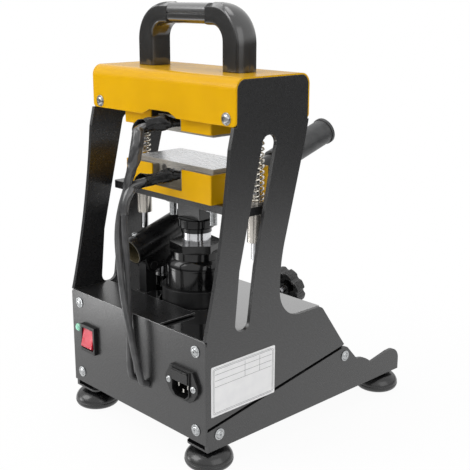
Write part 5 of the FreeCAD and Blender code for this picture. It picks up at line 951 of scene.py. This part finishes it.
def math_node(tree, operation, first, second):
    made = tree.nodes.new("ShaderNodeMath")
    made.operation = operation
    for socket, value in zip(made.inputs, (first, second)):
        if isinstance(value, float):
            socket.default_value = value
        else:
            tree.links.new(value, socket)
    return made.outputs[0]


def span_node(tree, value, start, end, low, high):
    made = tree.nodes.new("ShaderNodeMapRange")
    for name, number in (("From Min", start), ("From Max", end), ("To Min", low), ("To Max", high)):
        made.inputs[name].default_value = number
    tree.links.new(value, made.inputs["Value"])
    return made.outputs["Result"]


def mix_node(tree, factor, first, second):
    made = tree.nodes.new("ShaderNodeMixShader")
    tree.links.new(factor, made.inputs[0])
    tree.links.new(first, made.inputs[1])
    tree.links.new(second, made.inputs[2])
    return made.outputs[0]


def make_stage():
    """A wide pale floor that keeps the shadow under the press.

    Over the first span of distances, in metres, its shaded surface turns to plain white, and over the
    second one its mirror image darkens."""
    bpy.ops.object.select_all(action="DESELECT")
    bpy.ops.mesh.primitive_plane_add(size=60.0, location=(0, 0, -0.0006))
    floor = bpy.context.object
    floor.name = "floor"
    ground = bpy.data.materials.new("pale_floor")
    ground.use_nodes = True
    tree = ground.node_tree
    shader = tree.nodes["Principled BSDF"]
    shader.inputs["Base Color"].default_value = (0.96, 0.96, 0.96, 1)
    shader.inputs["Roughness"].default_value = 0.9
    shader.inputs["Specular IOR Level"].default_value = 0.2
    rays = tree.nodes.new("ShaderNodeLightPath")
    place = tree.nodes.new("ShaderNodeTexCoord")
    away = tree.nodes.new("ShaderNodeVectorMath")
    away.operation = "LENGTH"
    tree.links.new(place.outputs["Object"], away.inputs[0])
    distance = away.outputs["Value"]
    seen = tree.nodes.new("ShaderNodeEmission")
    mirrored = tree.nodes.new("ShaderNodeEmission")
    tree.links.new(span_node(tree, distance, *MIRROR_FLOOR, 1.0, 0.05), mirrored.inputs["Strength"])
    plain = span_node(tree, distance, *SHADOW_FLOOR, 0.95, 1.0)
    part = math_node(tree, "MULTIPLY", rays.outputs["Is Camera Ray"], plain)
    surface = mix_node(tree, part, shader.outputs[0], seen.outputs[0])
    glossy = math_node(tree, "MULTIPLY", rays.outputs["Is Glossy Ray"], 0.85)
    surface = mix_node(tree, glossy, surface, mirrored.outputs[0])
    tree.links.new(surface, tree.nodes["Material Output"].inputs["Surface"])
    dress(floor, ground)


def make_world():
    world = bpy.data.worlds.new("studio")
    bpy.context.scene.world = world
    world.use_nodes = True
    tree = world.node_tree
    soft = tree.nodes["Background"]
    soft.inputs["Color"].default_value = (1, 1, 1, 1)
    soft.inputs["Strength"].default_value = 0.45
    white = tree.nodes.new("ShaderNodeBackground")
    white.inputs["Color"].default_value = (1, 1, 1, 1)
    white.inputs["Strength"].default_value = 1.0
    rays = tree.nodes.new("ShaderNodeLightPath")
    seen = math_node(tree, "MAXIMUM", rays.outputs["Is Camera Ray"], rays.outputs["Is Glossy Ray"])
    seen = math_node(tree, "MAXIMUM", seen, rays.outputs["Is Transmission Ray"])
    surface = mix_node(tree, seen, soft.outputs[0], white.outputs[0])
    ceiling = tree.nodes.new("ShaderNodeBackground")
    ceiling.inputs["Color"].default_value = (1, 1, 1, 1)
    towards = tree.nodes.new("ShaderNodeSeparateXYZ")
    tree.links.new(tree.nodes.new("ShaderNodeTexCoord").outputs["Generated"], towards.inputs[0])
    tree.links.new(span_node(tree, towards.outputs["Z"], 0.0, 0.2, 0.15, 1.0), ceiling.inputs["Strength"])
    surface = mix_node(tree, rays.outputs["Is Glossy Ray"], surface, ceiling.outputs[0])
    tree.links.new(surface, tree.nodes["World Output"].inputs["Surface"])


def make_lamp(name, place, aim, size, power):
    lamp = bpy.data.objects.new(name, bpy.data.lights.new(name, "AREA"))
    lamp.data.shape, lamp.data.size, lamp.data.energy = "SQUARE", size, power
    bpy.context.scene.collection.objects.link(lamp)
    lamp.location = place
    lamp.rotation_euler = (Vector(aim) - Vector(place)).to_track_quat("-Z", "Y").to_euler()


bpy.context.scene.view_settings.view_transform = "Standard"
make_stage()
make_world()
make_lamp("key", (0.9, 1.6, 1.5), (0, 0.05, 0.2), 1.4, 22)
make_lamp("top", (0.2, 0.0, 1.9), (0, 0.05, 0.2), 1.0, 7)
make_lamp("low_left", (0.33, 0.43, 0.012), (0.06, 0.17, 0.08), 0.14, 0.3)
make_lamp("fill", (-1.8, 0.2, 1.0), (0, 0.05, 0.2), 1.6, 8)

upper_line = make_upper_lead()
lower_line = make_lower_lead()
make_feet()
make_screws()
make_springs()
make_sleeve("upper_sleeve", UPPER_SLEEVE, 331.2, "frame", 2.0, "upper_lead_sleeve")
make_sleeve("lower_sleeve", LOWER_SLEEVE, 275.5, "carriage", 5.0, "lower_lead_sleeve")
make_inner_sleeve("upper_inner_sleeve", upper_line, UPPER_INNER, 3.0)
make_inner_sleeve("lower_inner_sleeve", lower_line, LOWER_INNER, 7.0, bends=True)
make_knob()
make_rating_plate()
make_cap_screw()
make_handle()

bpy.context.view_layer.update()
